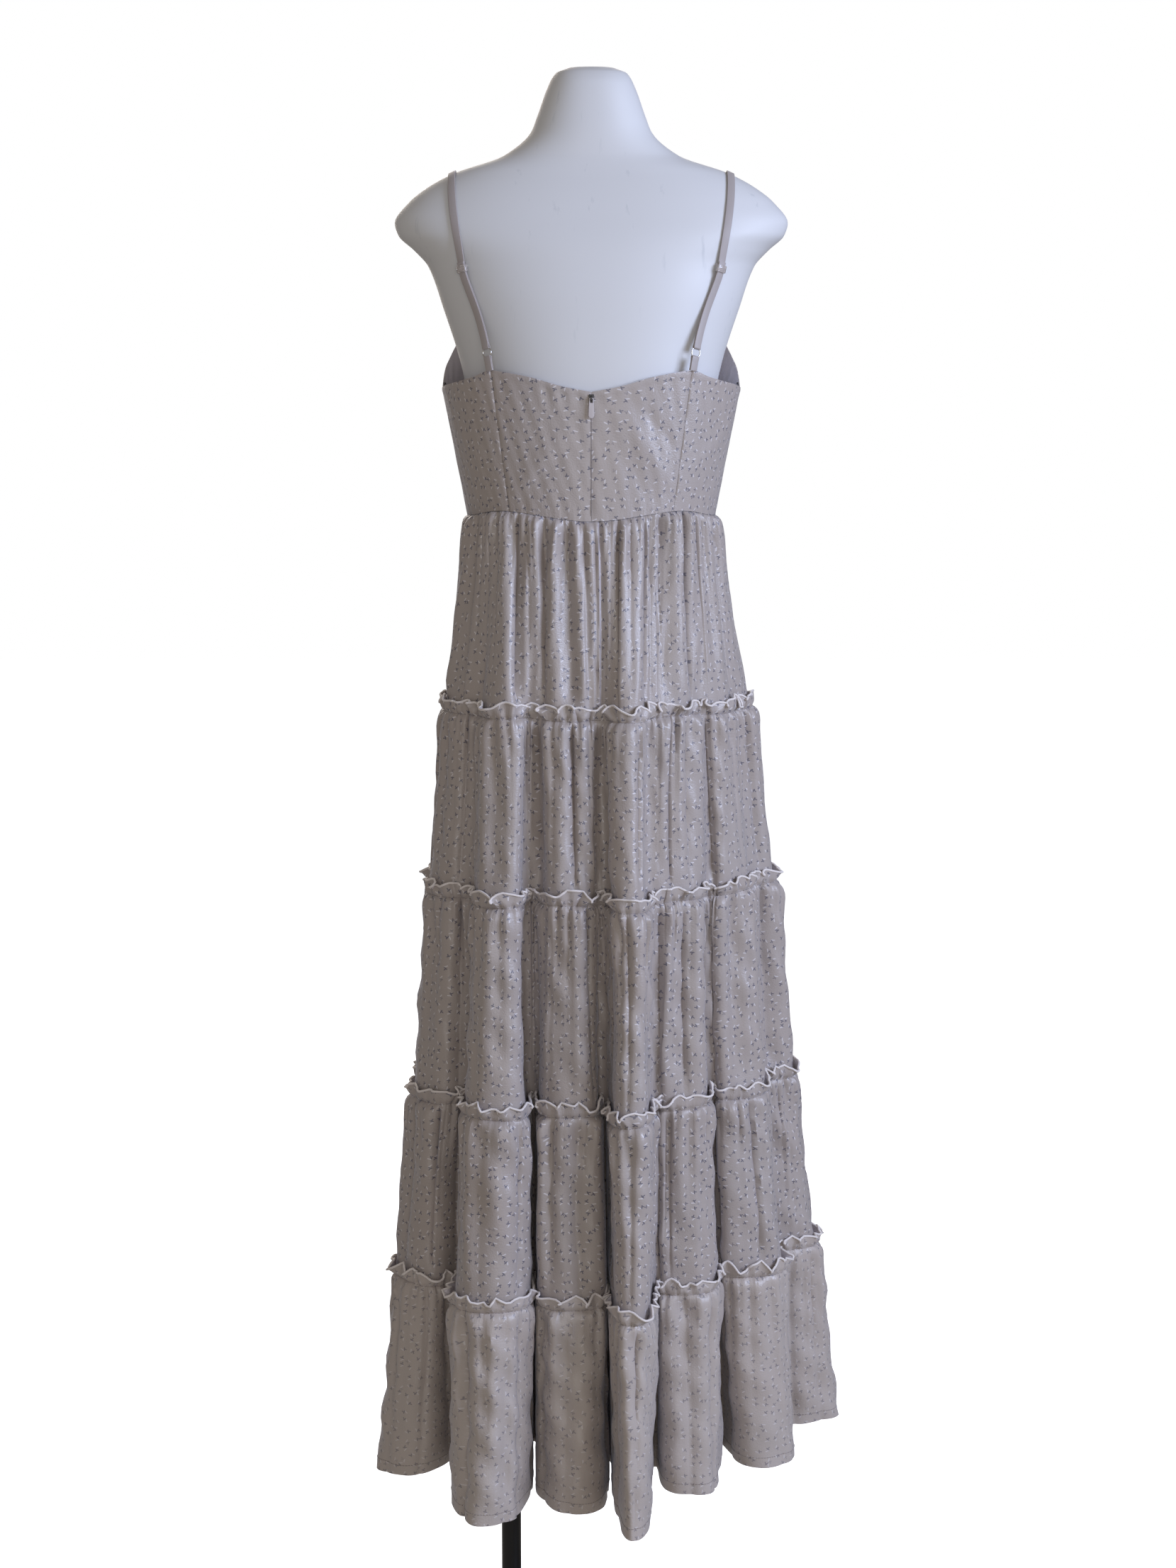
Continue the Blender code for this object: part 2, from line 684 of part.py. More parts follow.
def strap_side(knots, edge_degrees, back):
    """Returns one side of the strap's path on the form, from the bodice's edge up to the shoulder."""
    top = shoulder_top()
    edge = bodice_point(edge_degrees, bodice_top(edge_degrees), CLOTH)
    edge[2] += STRAP_EDGE_GAP
    heights = [knot.height for knot in knots] + [top]
    places = [knot.x for knot in knots] + [STRAP_TOP_X]
    path = []
    for part in np.linspace(0, 1, STRAP_SIDE_POINTS):
        height = edge[2] + (top - edge[2]) * math.sin(part * math.pi / 2)
        x = float(smooth_value(height, heights, places))
        on_skin = np.array((x, skin_reach(x, height, back), height))
        off = max(0.0, 1 - (height - edge[2]) / STRAP_LIFT_LENGTH)
        lifted = edge[:2] - np.array((places[0], skin_reach(places[0], edge[2], back)))
        on_skin[:2] += lifted * off * off * (3 - 2 * off)
        path.append(on_skin)
    return path


def spread_evenly(path, count):
    """Returns count points evenly along a path."""
    path = np.array(path)
    length = np.append(0, np.cumsum(np.linalg.norm(np.diff(path, axis=0), axis=1)))
    places = np.linspace(0, length[-1], count)
    return np.stack([np.interp(places, length, path[:, axis]) for axis in range(3)], axis=-1)


def strap_frames():
    """Returns the left strap's points, their outward directions and their directions across the strap."""
    back = strap_side(STRAP_BACK, STRAP_BACK_DEG, True)
    front = strap_side(STRAP_FRONT, STRAP_FRONT_DEG, False)
    points = spread_evenly(back + front[::-1][1:], STRAP_POINTS)
    out = np.array([form_normal(point) for point in points])
    for _ in range(STRAP_SMOOTHING):
        out[1:-1] = unit(out[:-2] + 2 * out[1:-1] + out[2:])
    along = unit(np.gradient(points, axis=0))
    out = unit(out - along * np.sum(out * along, axis=1)[:, None])
    across = np.cross(out, along)
    return seat_on_form(points, out, across), out, across


def seat_on_form(points, out, across):
    """Returns the strap's points moved so that its lower face lies a seam's gap over the form's facets."""
    corners, faces = form_mesh()
    skin = BVHTree.FromPolygons([Vector(corner) for corner in corners], faces)
    lifts = np.zeros(len(points))
    for index, (point, away, side) in enumerate(zip(points, out, across)):
        clearances = []
        for share in (-0.5, -0.25, 0.0, 0.25, 0.5):
            place = Vector(point + side * share * STRAP_WIDTH + away * SEAM_GAP)
            nearest, normal, _, _ = skin.find_nearest(place)
            clearances.append((place - nearest).dot(normal))
        clearance = min(clearances)
        if clearance < STRAP_SEAT_REACH:
            lifts[index] = STRAP_SEAT - clearance
    widest = np.max([np.roll(lifts, shift) for shift in STRAP_SEAT_SPAN], axis=0)
    from_slider = np.arange(len(points)) - nearest_index(points, SLIDER_HEIGHT)
    hump = SLIDER_LIFT * np.exp(-((from_slider / SLIDER_HUMP_POINTS) ** 2))
    return points + out * (widest + hump)[:, None]


def strap_solid(points, out, across, heights):
    """Returns a band's corners: four for each point, the lower face SEAM_GAP over the form's skin."""
    corners = []
    for point, away, side, height in zip(points, out, across, heights):
        for sign, lift in ((-1, 0.0), (-1, height), (1, height), (1, 0.0)):
            corners.append(point + side * sign * STRAP_WIDTH / 2 + away * (SEAM_GAP + lift))
    return corners


def band_faces(count):
    """Returns the faces of a band with four corners at each of its points."""
    faces = [(0, 1, 2, 3)]
    for place in range(count - 1):
        first, second = 4 * place, 4 * place + 4
        for corner in range(4):
            after = (corner + 1) % 4
            faces.append((first + corner, second + corner, second + after, first + after))
    end = 4 * (count - 1)
    faces.append((end + 3, end + 2, end + 1, end))
    return faces


def mirrored(points, faces, side):
    """Returns a solid for one side of the body: as it is on the left, mirrored on the right."""
    if side == "left":
        return points, faces
    return [(-point[0], point[1], point[2]) for point in points], [tuple(reversed(face)) for face in faces]


def ring_mesh(centre, out, across):
    """Returns a wire ring that lies along the strap."""
    up = np.cross(across, out)
    points, faces = [], []
    for step in range(RING_SIDES):
        angle = 2 * math.pi * step / RING_SIDES
        spoke = across * math.cos(angle) + up * math.sin(angle)
        for turn in range(RING_WIRE_SIDES):
            roll = 2 * math.pi * turn / RING_WIRE_SIDES
            reach = RING_RADIUS + RING_WIRE * math.cos(roll)
            points.append(centre + spoke * reach + out * RING_WIRE * math.sin(roll))
            after, beside = (step + 1) % RING_SIDES, (turn + 1) % RING_WIRE_SIDES
            here, there = step * RING_WIRE_SIDES, after * RING_WIRE_SIDES
            faces.append((here + beside, there + beside, there + turn, here + turn))
    return points, faces


def slider_mesh(centre, out, across):
    """Returns a strap slider: a short frame with the doubled strap through it."""
    along = np.cross(across, out)
    inner_half = STRAP_WIDTH / 2 + SLIDER_PLAY
    inner_low, inner_high = -SLIDER_PLAY, STRAP_DOUBLED + SLIDER_PLAY
    points, faces = [], []
    for end in (-0.5, 0.5):
        for grow in (0.0, SLIDER_WALL):
            low, high, half = inner_low - grow, inner_high + grow, inner_half + grow
            for side, lift in ((-half, low), (half, low), (half, high), (-half, high)):
                points.append(centre + along * end * SLIDER_LENGTH + across * side + out * lift)
    for corner in range(4):
        after = (corner + 1) % 4
        faces.append((corner, after, 4 + after, 4 + corner))
        faces.append((8 + after, 8 + corner, 12 + corner, 12 + after))
        faces.append((4 + corner, 4 + after, 12 + after, 12 + corner))
        faces.append((after, corner, 8 + corner, 8 + after))
    return points, faces


def nearest_index(points, height):
    """Returns the place on the strap's back half that is nearest a height."""
    back_half = points[: np.argmax(points[:, 2])]
    return int(np.argmin(np.abs(back_half[:, 2] - height)))


def strap_part(frames, places):
    """Returns the strap's points and directions at places along it, which may fall between two points."""
    index = np.arange(len(frames[0]))
    parts = []
    for rows in frames:
        parts.append(np.stack([np.interp(places, index, rows[:, axis]) for axis in range(3)], axis=-1))
    return parts


def build_straps(cloth, metal, clear):
    """Builds both shoulder straps with their tabs, rings and sliders."""
    frames = strap_frames()
    points, out, across = frames
    ring = nearest_index(points, RING_HEIGHT)
    slider = nearest_index(points, SLIDER_HEIGHT)
    ring_lift = SEAM_GAP + RING_WIRE + RING_RAISE
    reach = (RING_RADIUS + RING_WIRE + SEAM_GAP) / np.linalg.norm(points[ring + 1] - points[ring])
    places = np.append(np.arange(ring + reach, len(points) - 1, STRAP_STEP), len(points) - 1)
    doubled = np.where(places < slider + STRAP_DOUBLED_PAST_SLIDER, STRAP_DOUBLED, STRAP_THICKNESS)
    strap = strap_solid(*strap_part(frames, places), doubled)
    tab = strap_solid(*strap_part(frames, (0, ring - reach)), (STRAP_THICKNESS, STRAP_THICKNESS))
    ring_shape = ring_mesh(points[ring] + out[ring] * ring_lift, out[ring], across[ring])
    slider_shape = slider_mesh(points[slider] + out[slider] * SEAM_GAP, out[slider], across[slider])
    for side in ("left", "right"):
        add_object(f"strap_{side}", *mirrored(strap, band_faces(len(places)), side), cloth)
        add_object(f"strap_tab_{side}", *mirrored(tab, band_faces(2), side), cloth)
        add_object(f"strap_ring_{side}", *mirrored(*ring_shape, side), metal)
        add_object(f"strap_slider_{side}", *mirrored(*slider_shape, side), clear)


def extruded(outline, low, high, hole=()):
    """Returns a prism between two places along its first axis, with a hole of as many corners or none."""
    loops = (outline, hole) if hole else (outline,)
    points = [(place, *corner) for place in (low, high) for loop in loops for corner in loop]
    count = len(outline)
    far = count * len(loops)
    faces = []
    for corner in range(count):
        after = (corner + 1) % count
        faces.append((corner, far + corner, far + after, after))
        if hole:
            faces.append((count + after, far + count + after, far + count + corner, count + corner))
            faces.append((corner, after, count + after, count + corner))
            faces.append((far + after, far + corner, far + count + corner, far + count + after))
    if not hole:
        faces.append(tuple(range(count)))
        faces.append(tuple(far + corner for corner in reversed(range(count))))
    return points, faces


def pull_mesh():
    """Returns the zip pull about its bar's axis: a drop-shaped tab with a window under the bar."""
    half = PULL_THICKNESS / 2
    low = -half - PULL_WINDOW_HEIGHT
    tip = half - PULL_LENGTH
    wide, shoulder = PULL_TIP_HALF_WIDTH, PULL_TIP_SHOULDER * PULL_TIP_HALF_WIDTH
    side = (
        (PULL_EYE_HALF_WIDTH, half),
        (PULL_EYE_HALF_WIDTH, low - half),
        (wide, tip + wide),
        (shoulder, tip + wide - shoulder),
    )
    outline = ((0.0, half), *side, (0.0, tip), *((-x, z) for x, z in reversed(side)))
    inside = PULL_WINDOW_HALF_WIDTH
    side = ((inside, -half), (inside, low / 2), (inside, low), (inside / 2, low))
    hole = ((0.0, -half), *side, (0.0, low), *((-x, z) for x, z in reversed(side)))
    points, faces = extruded(outline, -half, half, hole)
    return [(x, y, z) for y, x, z in points], [tuple(reversed(face)) for face in faces]


def bridge_outline(front):
    """Returns the bridge's outline across X: an arch from the slider's front, out over the pull's bar."""
    root, reach = front - BRIDGE_ROOT, front + BRIDGE_REACH
    foot, thick = BRIDGE_HALF_HEIGHT, BRIDGE_THICKNESS
    lower = (
        (root, thick - foot),
        (root, -foot),
        (reach - thick, -foot),
        (reach, thick - foot),
    )
    upper = tuple((y, -z) for y, z in reversed(lower))
    inner = ((reach - thick, foot - thick), (reach - thick, thick - foot))
    return [(y, z + ZIP_HEIGHT) for y, z in lower + upper + inner]


def build_zip(metal):
    """Builds the zip's slider with its bridge, and the pull that swings under the bridge."""
    half_height = SLIDER_BODY_HALF_HEIGHT
    face = bodice_point(90, ZIP_HEIGHT + half_height, 0.0)[1] + SEAM_GAP
    front = face + SLIDER_BODY_DEPTH
    low, high = ZIP_HEIGHT - half_height, ZIP_HEIGHT + half_height
    body = ((face, low), (front, low), (front, high), (face, high))
    slider = add_object("zip_slider", *extruded(body, -SLIDER_BODY_HALF_WIDTH, SLIDER_BODY_HALF_WIDTH), metal)
    arch = extruded(bridge_outline(front), -BRIDGE_HALF_WIDTH, BRIDGE_HALF_WIDTH)
    bridge = add_object("zip_bridge", *arch, metal)
    bridge.hide_render = True
    bridge.display_type = "WIRE"
    union = slider.modifiers.new("bridge", "BOOLEAN")
    union.operation = "UNION"
    union.object = bridge
    pull = add_object("zip_pull", *pull_mesh(), metal)
    pull.location = (0.0, front + PULL_BAR_REACH, ZIP_HEIGHT)


def main():
    """Builds the whole part."""
    clear_scene()
    cloth = material("printed_crepe", (0.37, 0.33, 0.32), 0.75)
    shell = material("matte_white_shell", (0.78, 0.80, 0.84), 0.55)
    black = material("black_powder_coat", (0.012, 0.012, 0.013), 0.45)
    metal = material("pale_nickel", (0.72, 0.71, 0.69), 0.30, 0.9)
    clear = material("clear_nylon", (0.62, 0.60, 0.60), 0.20)
    add_object("dress_form", *form_mesh(), shell)
    build_stand(black)
    build_skirt(cloth)
    build_bodice(cloth)
    build_straps(cloth, metal, clear)
    build_zip(metal)


main()
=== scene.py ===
"""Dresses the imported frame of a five-tier maxi dress that hangs on a limbless dress form.

Metres, +Z up. The wearer's left is at +X and the back of the dress, which the camera sees, is at +Y.
"""

import logging
import math
from dataclasses import dataclass
from enum import Enum
from typing import NamedTuple

import bmesh
import bpy
import numpy as np
from bpy.types import Material, Node, NodeSocket, NodeTree, Object, World
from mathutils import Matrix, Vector


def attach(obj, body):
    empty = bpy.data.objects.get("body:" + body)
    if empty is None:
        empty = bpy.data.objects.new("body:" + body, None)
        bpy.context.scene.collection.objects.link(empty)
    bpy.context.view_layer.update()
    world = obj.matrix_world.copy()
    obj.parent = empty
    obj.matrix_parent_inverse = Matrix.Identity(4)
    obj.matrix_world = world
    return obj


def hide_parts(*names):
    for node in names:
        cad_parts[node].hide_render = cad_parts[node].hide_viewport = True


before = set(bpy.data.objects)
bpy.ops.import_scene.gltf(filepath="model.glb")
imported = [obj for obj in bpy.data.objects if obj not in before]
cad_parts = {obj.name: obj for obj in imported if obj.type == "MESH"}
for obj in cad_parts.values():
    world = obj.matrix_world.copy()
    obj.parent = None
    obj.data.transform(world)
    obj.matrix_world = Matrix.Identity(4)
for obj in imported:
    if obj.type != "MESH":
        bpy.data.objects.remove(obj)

MM = 0.001
BODY = "dress_and_form"
PULL_BODY = "zip_pull"
LOG = logging.getLogger("maxi_dress")
Array = np.ndarray


class Side(Enum):
    """The wearer's side that a piece is on."""

    LEFT = "left"
    RIGHT = "right"

    @property
    def sign(self) -> int:
        """Returns 1 where x is positive and -1 where it is negative."""
        return 1 if self is Side.LEFT else -1


class Hold(Enum):
    """How a sheet of cloth is held."""

    GATHERED = "gathered"
    STRETCHED = "stretched"


class Oval(NamedTuple):
    """A section whose front and back reach differ, in metres."""

    half_width: float
    front: float
    back: float


class Level(NamedTuple):
    """A seam of the skirt: its height, and how far its folds have spread and sunk."""

    height: float
    spread: float
    sink: float


class Fold(NamedTuple):
    """A crest at the waist and hem, its width at the hem, and the valley after it."""

    waist_deg: float
    crest_x: float
    crest_y: float
    width: float
    valley_x: float
    valley_y: float


LEVELS = (
    Level(1.241, 0.00, 0.00),
    Level(1.043, 0.27, 0.07),
    Level(0.858, 0.46, 0.16),
    Level(0.646, 0.62, 0.32),
    Level(0.455, 0.80, 0.48),
    Level(0.249, 1.00, 1.00),
)
FOLDS = (
    Fold(28, 0.214, 0.083, 0.070, 0.136, 0.050),
    Fold(50, 0.104, 0.214, 0.070, 0.060, 0.008),
    Fold(80, 0.017, 0.190, 0.063, -0.016, 0.040),
    Fold(105, -0.042, 0.254, 0.029, -0.067, 0.074),
    Fold(127, -0.106, 0.143, 0.048, -0.140, 0.010),
    Fold(148, -0.190, 0.070, 0.060, -0.198, -0.030),
    Fold(175, -0.270, -0.084, 0.052, -0.152, -0.090),
    Fold(200, -0.208, -0.182, 0.058, -0.116, -0.120),
    Fold(225, -0.122, -0.236, 0.060, -0.074, -0.100),
    Fold(250, -0.036, -0.262, 0.056, 0.004, -0.108),
    Fold(275, 0.046, -0.238, 0.052, 0.084, -0.096),
    Fold(300, 0.126, -0.228, 0.058, 0.128, -0.086),
    Fold(325, 0.200, -0.146, 0.056, 0.146, -0.056),
    Fold(352, 0.215, -0.034, 0.054, 0.152, 0.006),
)
HALF_FOLDS = 2 * len(FOLDS)
WAIST_OVAL = Oval(0.1265, 0.102, 0.096)
BUST_OVAL = Oval(0.1550, 0.116, 0.101)
CLOTH_POWER = 2.2
SEAM_GAP = 0.15 * MM
SEAM_COLUMNS = 2
NO_LENGTH = 1e-12


# Small helpers


def linear(hex_colour: str) -> tuple[float, float, float, float]:
    """Turns a colour from sRGB to linear.

    Args:
        hex_colour: Six hex digits after a hash.

    Returns:
        Linear red, green and blue, and an alpha of 1.
    """
    values = [int(hex_colour[place : place + 2], 16) / 255 for place in (1, 3, 5)]
    turned = [value / 12.92 if value <= 0.04045 else ((value + 0.055) / 1.055) ** 2.4 for value in values]
    return (*turned, 1.0)


def unit(vectors: Array) -> Array:
    """Returns the vectors at length one."""
    return vectors / np.maximum(np.linalg.norm(vectors, axis=-1, keepdims=True), NO_LENGTH)


def ease(values: Array, low: float, high: float) -> Array:
    """Returns 0 below low, 1 above high and a smooth rise between."""
    share = np.clip((np.asarray(values, float) - low) / (high - low), 0.0, 1.0)
    return share * share * (3 - 2 * share)


def smooth_value(x: float | Array, knots: tuple, values: tuple) -> Array:
    """Reads a curve that has no overshoot between its knots.

    Args:
        x: Where to read it.
        knots: Rising places.
        values: The curve's value at each place.

    Returns:
        The value or values at x.
    """
    knots, values = np.asarray(knots, float), np.asarray(values, float)
    steps = np.diff(knots)
    slopes = np.diff(values) / steps
    tangents = np.zeros(len(knots))
    tangents[0], tangents[-1] = slopes[0], slopes[-1]
    for index in range(1, len(knots) - 1):
        before, after = slopes[index - 1], slopes[index]
        if before * after > 0:
            tangents[index] = 2 * before * after / (before + after)
    place = np.clip(np.searchsorted(knots, x) - 1, 0, len(steps) - 1)
    part = np.clip((x - knots[place]) / steps[place], 0.0, 1.0)
    step, rest = steps[place], 1 - part
    start = values[place] * (1 + 2 * part) * rest**2 + tangents[place] * step * part * rest**2
    end = values[place + 1] * part**2 * (3 - 2 * part) - tangents[place + 1] * step * part**2 * rest
    return start + end


def oval_point(degrees: Array, oval: Oval, power: float) -> Array:
    """Returns x and y on a rounded oval at these angles."""
    angle = np.radians(degrees)
    cosine, sine = np.cos(angle), np.sin(angle)
    reach = np.where(sine < 0, oval.front, oval.back)
    x = oval.half_width * np.sign(cosine) * np.abs(cosine) ** (2 / power)
    y = reach * np.sign(sine) * np.abs(sine) ** (2 / power)
    return np.stack((x, y), axis=-1)


def outward(plan: Array) -> Array:
    """Returns the outward directions of a closed counter-clockwise outline at its points."""
    ahead = unit(np.roll(plan, -1, axis=0) - plan)
    along = ahead + np.roll(ahead, 1, axis=0)
    return unit(np.stack((along[:, 1], -along[:, 0]), axis=-1))


def girth_steps(plan: Array) -> Array:
    """Returns the length along a closed outline at each point, with the whole girth last."""
    return np.append(0, np.cumsum(np.linalg.norm(np.roll(plan, -1, axis=0) - plan, axis=1)))


def add_mesh(name: str, points: Array, faces: Array | list, finish: Material) -> Object:
    """Adds a smooth mesh object at the origin.

    Args:
        name: The piece's name.
        points: Its corners in the row frame.
        faces: Corner numbers of each face.
        finish: Its material.

    Returns:
        The new object.
    """
    mesh = bpy.data.meshes.new(name)
    mesh.from_pydata(np.asarray(points).tolist(), [], [tuple(face) for face in np.asarray(faces, object)])
    mesh.materials.append(finish)
    mesh.shade_smooth()
    made = bpy.data.objects.new(name, mesh)
    bpy.context.scene.collection.objects.link(made)
    return made


def point_outwards(piece: Object, sharp_deg: float = 40) -> None:
    """Merges a closed piece's doubles, turns its faces outwards and marks its sharp edges."""
    shape = bmesh.new()
    shape.from_mesh(piece.data)
    bmesh.ops.remove_doubles(shape, verts=shape.verts, dist=1e-7)
    bmesh.ops.recalc_face_normals(shape, faces=shape.faces)
    shape.to_mesh(piece.data)
    shape.free()
    piece.data.set_sharp_from_angle(angle=math.radians(sharp_deg))


def torus_faces(rows: int, columns: int) -> list:
    """Returns the faces of a grid of points that joins up both ways."""
    grid = np.arange(rows * columns).reshape(rows, columns)
    after, beside = np.roll(grid, -1, axis=0), np.roll(grid, -1, axis=1)
    both = np.roll(after, -1, axis=1)
    return np.stack([part.ravel() for part in (grid, after, both, beside)], axis=-1).tolist()


def settle(piece: Object, nodes: tuple[str, ...] = (), body: str = BODY) -> Object:
    """Ties a finished piece to its body and the solids that it stands for."""
    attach(piece, body)
    if nodes:
        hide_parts(*nodes)
    LOG.info("%s: %d faces", piece.name, len(piece.data.polygons))
    return piece


@dataclass
class ClothGrid:
    """A panel of cloth as a grid of points, rows downwards and columns to the left.

    Args:
        outer: The outer face's points, by row and column.
        inner: The inner face's points.
        flat: The print's coordinates in metres on the flat cloth, by row and column.
        gathered: How tightly the cloth is gathered at each point, from 0 to 1.
    """

    outer: Array
    inner: Array
    flat: Array
    gathered: Array

    def columns(self, picked: Array) -> "ClothGrid":
        """Returns the picked columns as a panel of their own."""
        parts = (self.outer, self.inner, self.flat, self.gathered)
        return ClothGrid(*(part[:, picked].copy() for part in parts))

    def close_seams(self, gap: float, dip: float, width: int) -> None:
        """Turns the cloth in along both side edges, as a pressed seam does.

        Args:
            gap: Half the space left between two panels.
            dip: How far the edge turns in.
            width: The number of columns that turn in.
        """
        for end, beside in ((0, 1), (-1, -2)):
            for surface in (self.outer, self.inner):
                surface[:, end] += unit(surface[:, beside] - surface[:, end]) * gap
        away = unit(self.outer - self.inner)
        for step in range(width):
            share = (1 - step / width) ** 2
            for column in (step, -1 - step):
                self.outer[:, column] -= away[:, column] * dip * share
                self.inner[:, column] -= away[:, column] * dip * share * 0.5

    def build(self, name: str, finish: Material, reverse: Material) -> Object:
        """Builds the panel as a closed thin shell.

        Args:
            name: The piece's name.
            finish: The material of the right side.
            reverse: The material of the wrong side.

        Returns:
            The new object.
        """
        rows, columns = self.outer.shape[:2]
        index = np.arange(rows * columns).reshape(rows, columns)
        back = index + rows * columns
        walls = (
            (index[:-1, :-1], index[1:, :-1], index[1:, 1:], index[:-1, 1:]),
            (back[:-1, :-1], back[:-1, 1:], back[1:, 1:], back[1:, :-1]),
            (index[0, :-1], index[0, 1:], back[0, 1:], back[0, :-1]),
            (index[-1, 1:], index[-1, :-1], back[-1, :-1], back[-1, 1:]),
            (index[:-1, 0], back[:-1, 0], back[1:, 0], index[1:, 0]),
            (index[:-1, -1], index[1:, -1], back[1:, -1], back[:-1, -1]),
        )
        quads = [np.stack([corner.ravel() for corner in wall], axis=-1) for wall in walls]
        points = np.concatenate((self.outer.reshape(-1, 3), self.inner.reshape(-1, 3)))
        piece = add_mesh(name, points, np.concatenate(quads).tolist(), finish)
        mesh = piece.data
        mesh.materials.append(reverse)
        sides = np.repeat([0, 1, 0], [len(quads[0]), len(quads[1]), sum(len(wall) for wall in quads[2:])])
        mesh.polygons.foreach_set("material_index", sides.astype(np.int32))
        corners = np.zeros(len(mesh.loops), np.int32)
        mesh.loops.foreach_get("vertex_index", corners)
        flat = np.concatenate((self.flat.reshape(-1, 2), self.flat.reshape(-1, 2)))
        mesh.uv_layers.new(name="flat").data.foreach_set("uv", flat[corners].astype(np.float32).ravel())
        held = np.concatenate((self.gathered.ravel(), self.gathered.ravel()))
        mesh.attributes.new("gathered", "FLOAT", "POINT").data.foreach_set("value", held.astype(np.float32))
        mesh.set_sharp_from_angle(angle=math.radians(70))
        return piece


# Node helpers


def add_node(tree: NodeTree, kind: str, inputs: dict | None = None, **settings) -> Node:
    """Adds a node with its settings and links.

    Args:
        tree: The node tree.
        kind: The node's type name.
        inputs: Values, or sockets to link from, by input name or number.
        **settings: The node's own properties.

    Returns:
        The new node.
    """
    made = tree.nodes.new(kind)
    for name, value in settings.items():
        setattr(made, name, value)
    for name, value in (inputs or {}).items():
        if isinstance(value, NodeSocket):
            tree.links.new(value, made.inputs[name])
        else:
            made.inputs[name].default_value = value
    return made


def math_node(tree: NodeTree, operation: str, *values: float | NodeSocket) -> NodeSocket:
    """Returns the result of one number operation."""
    made = add_node(tree, "ShaderNodeMath", dict(enumerate(values)), operation=operation)
    return made.outputs[0]


def mix_colours(tree: NodeTree, share: NodeSocket, first: tuple | NodeSocket, second: tuple) -> NodeSocket:
    """Returns the first colour, with the second laid over it where share is 1."""
    made = add_node(tree, "ShaderNodeMix", data_type="RGBA")
    factor, under, over = (made.inputs[place] for place in (0, 6, 7))
    tree.links.new(share, factor)
    if isinstance(first, NodeSocket):
        tree.links.new(first, under)
    else:
        under.default_value = first
    over.default_value = second
    return made.outputs[2]


def line_mesh(name: str, points: Array, closed: bool) -> Object:
    """Returns an object of edges alone that runs through the points."""
    count = len(points)
    edges = [(place, (place + 1) % count) for place in range(count if closed else count - 1)]
    mesh = bpy.data.meshes.new(name)
    mesh.from_pydata(np.asarray(points).tolist(), edges, [])
    made = bpy.data.objects.new(name, mesh)
    bpy.context.scene.collection.objects.link(made)
    return made


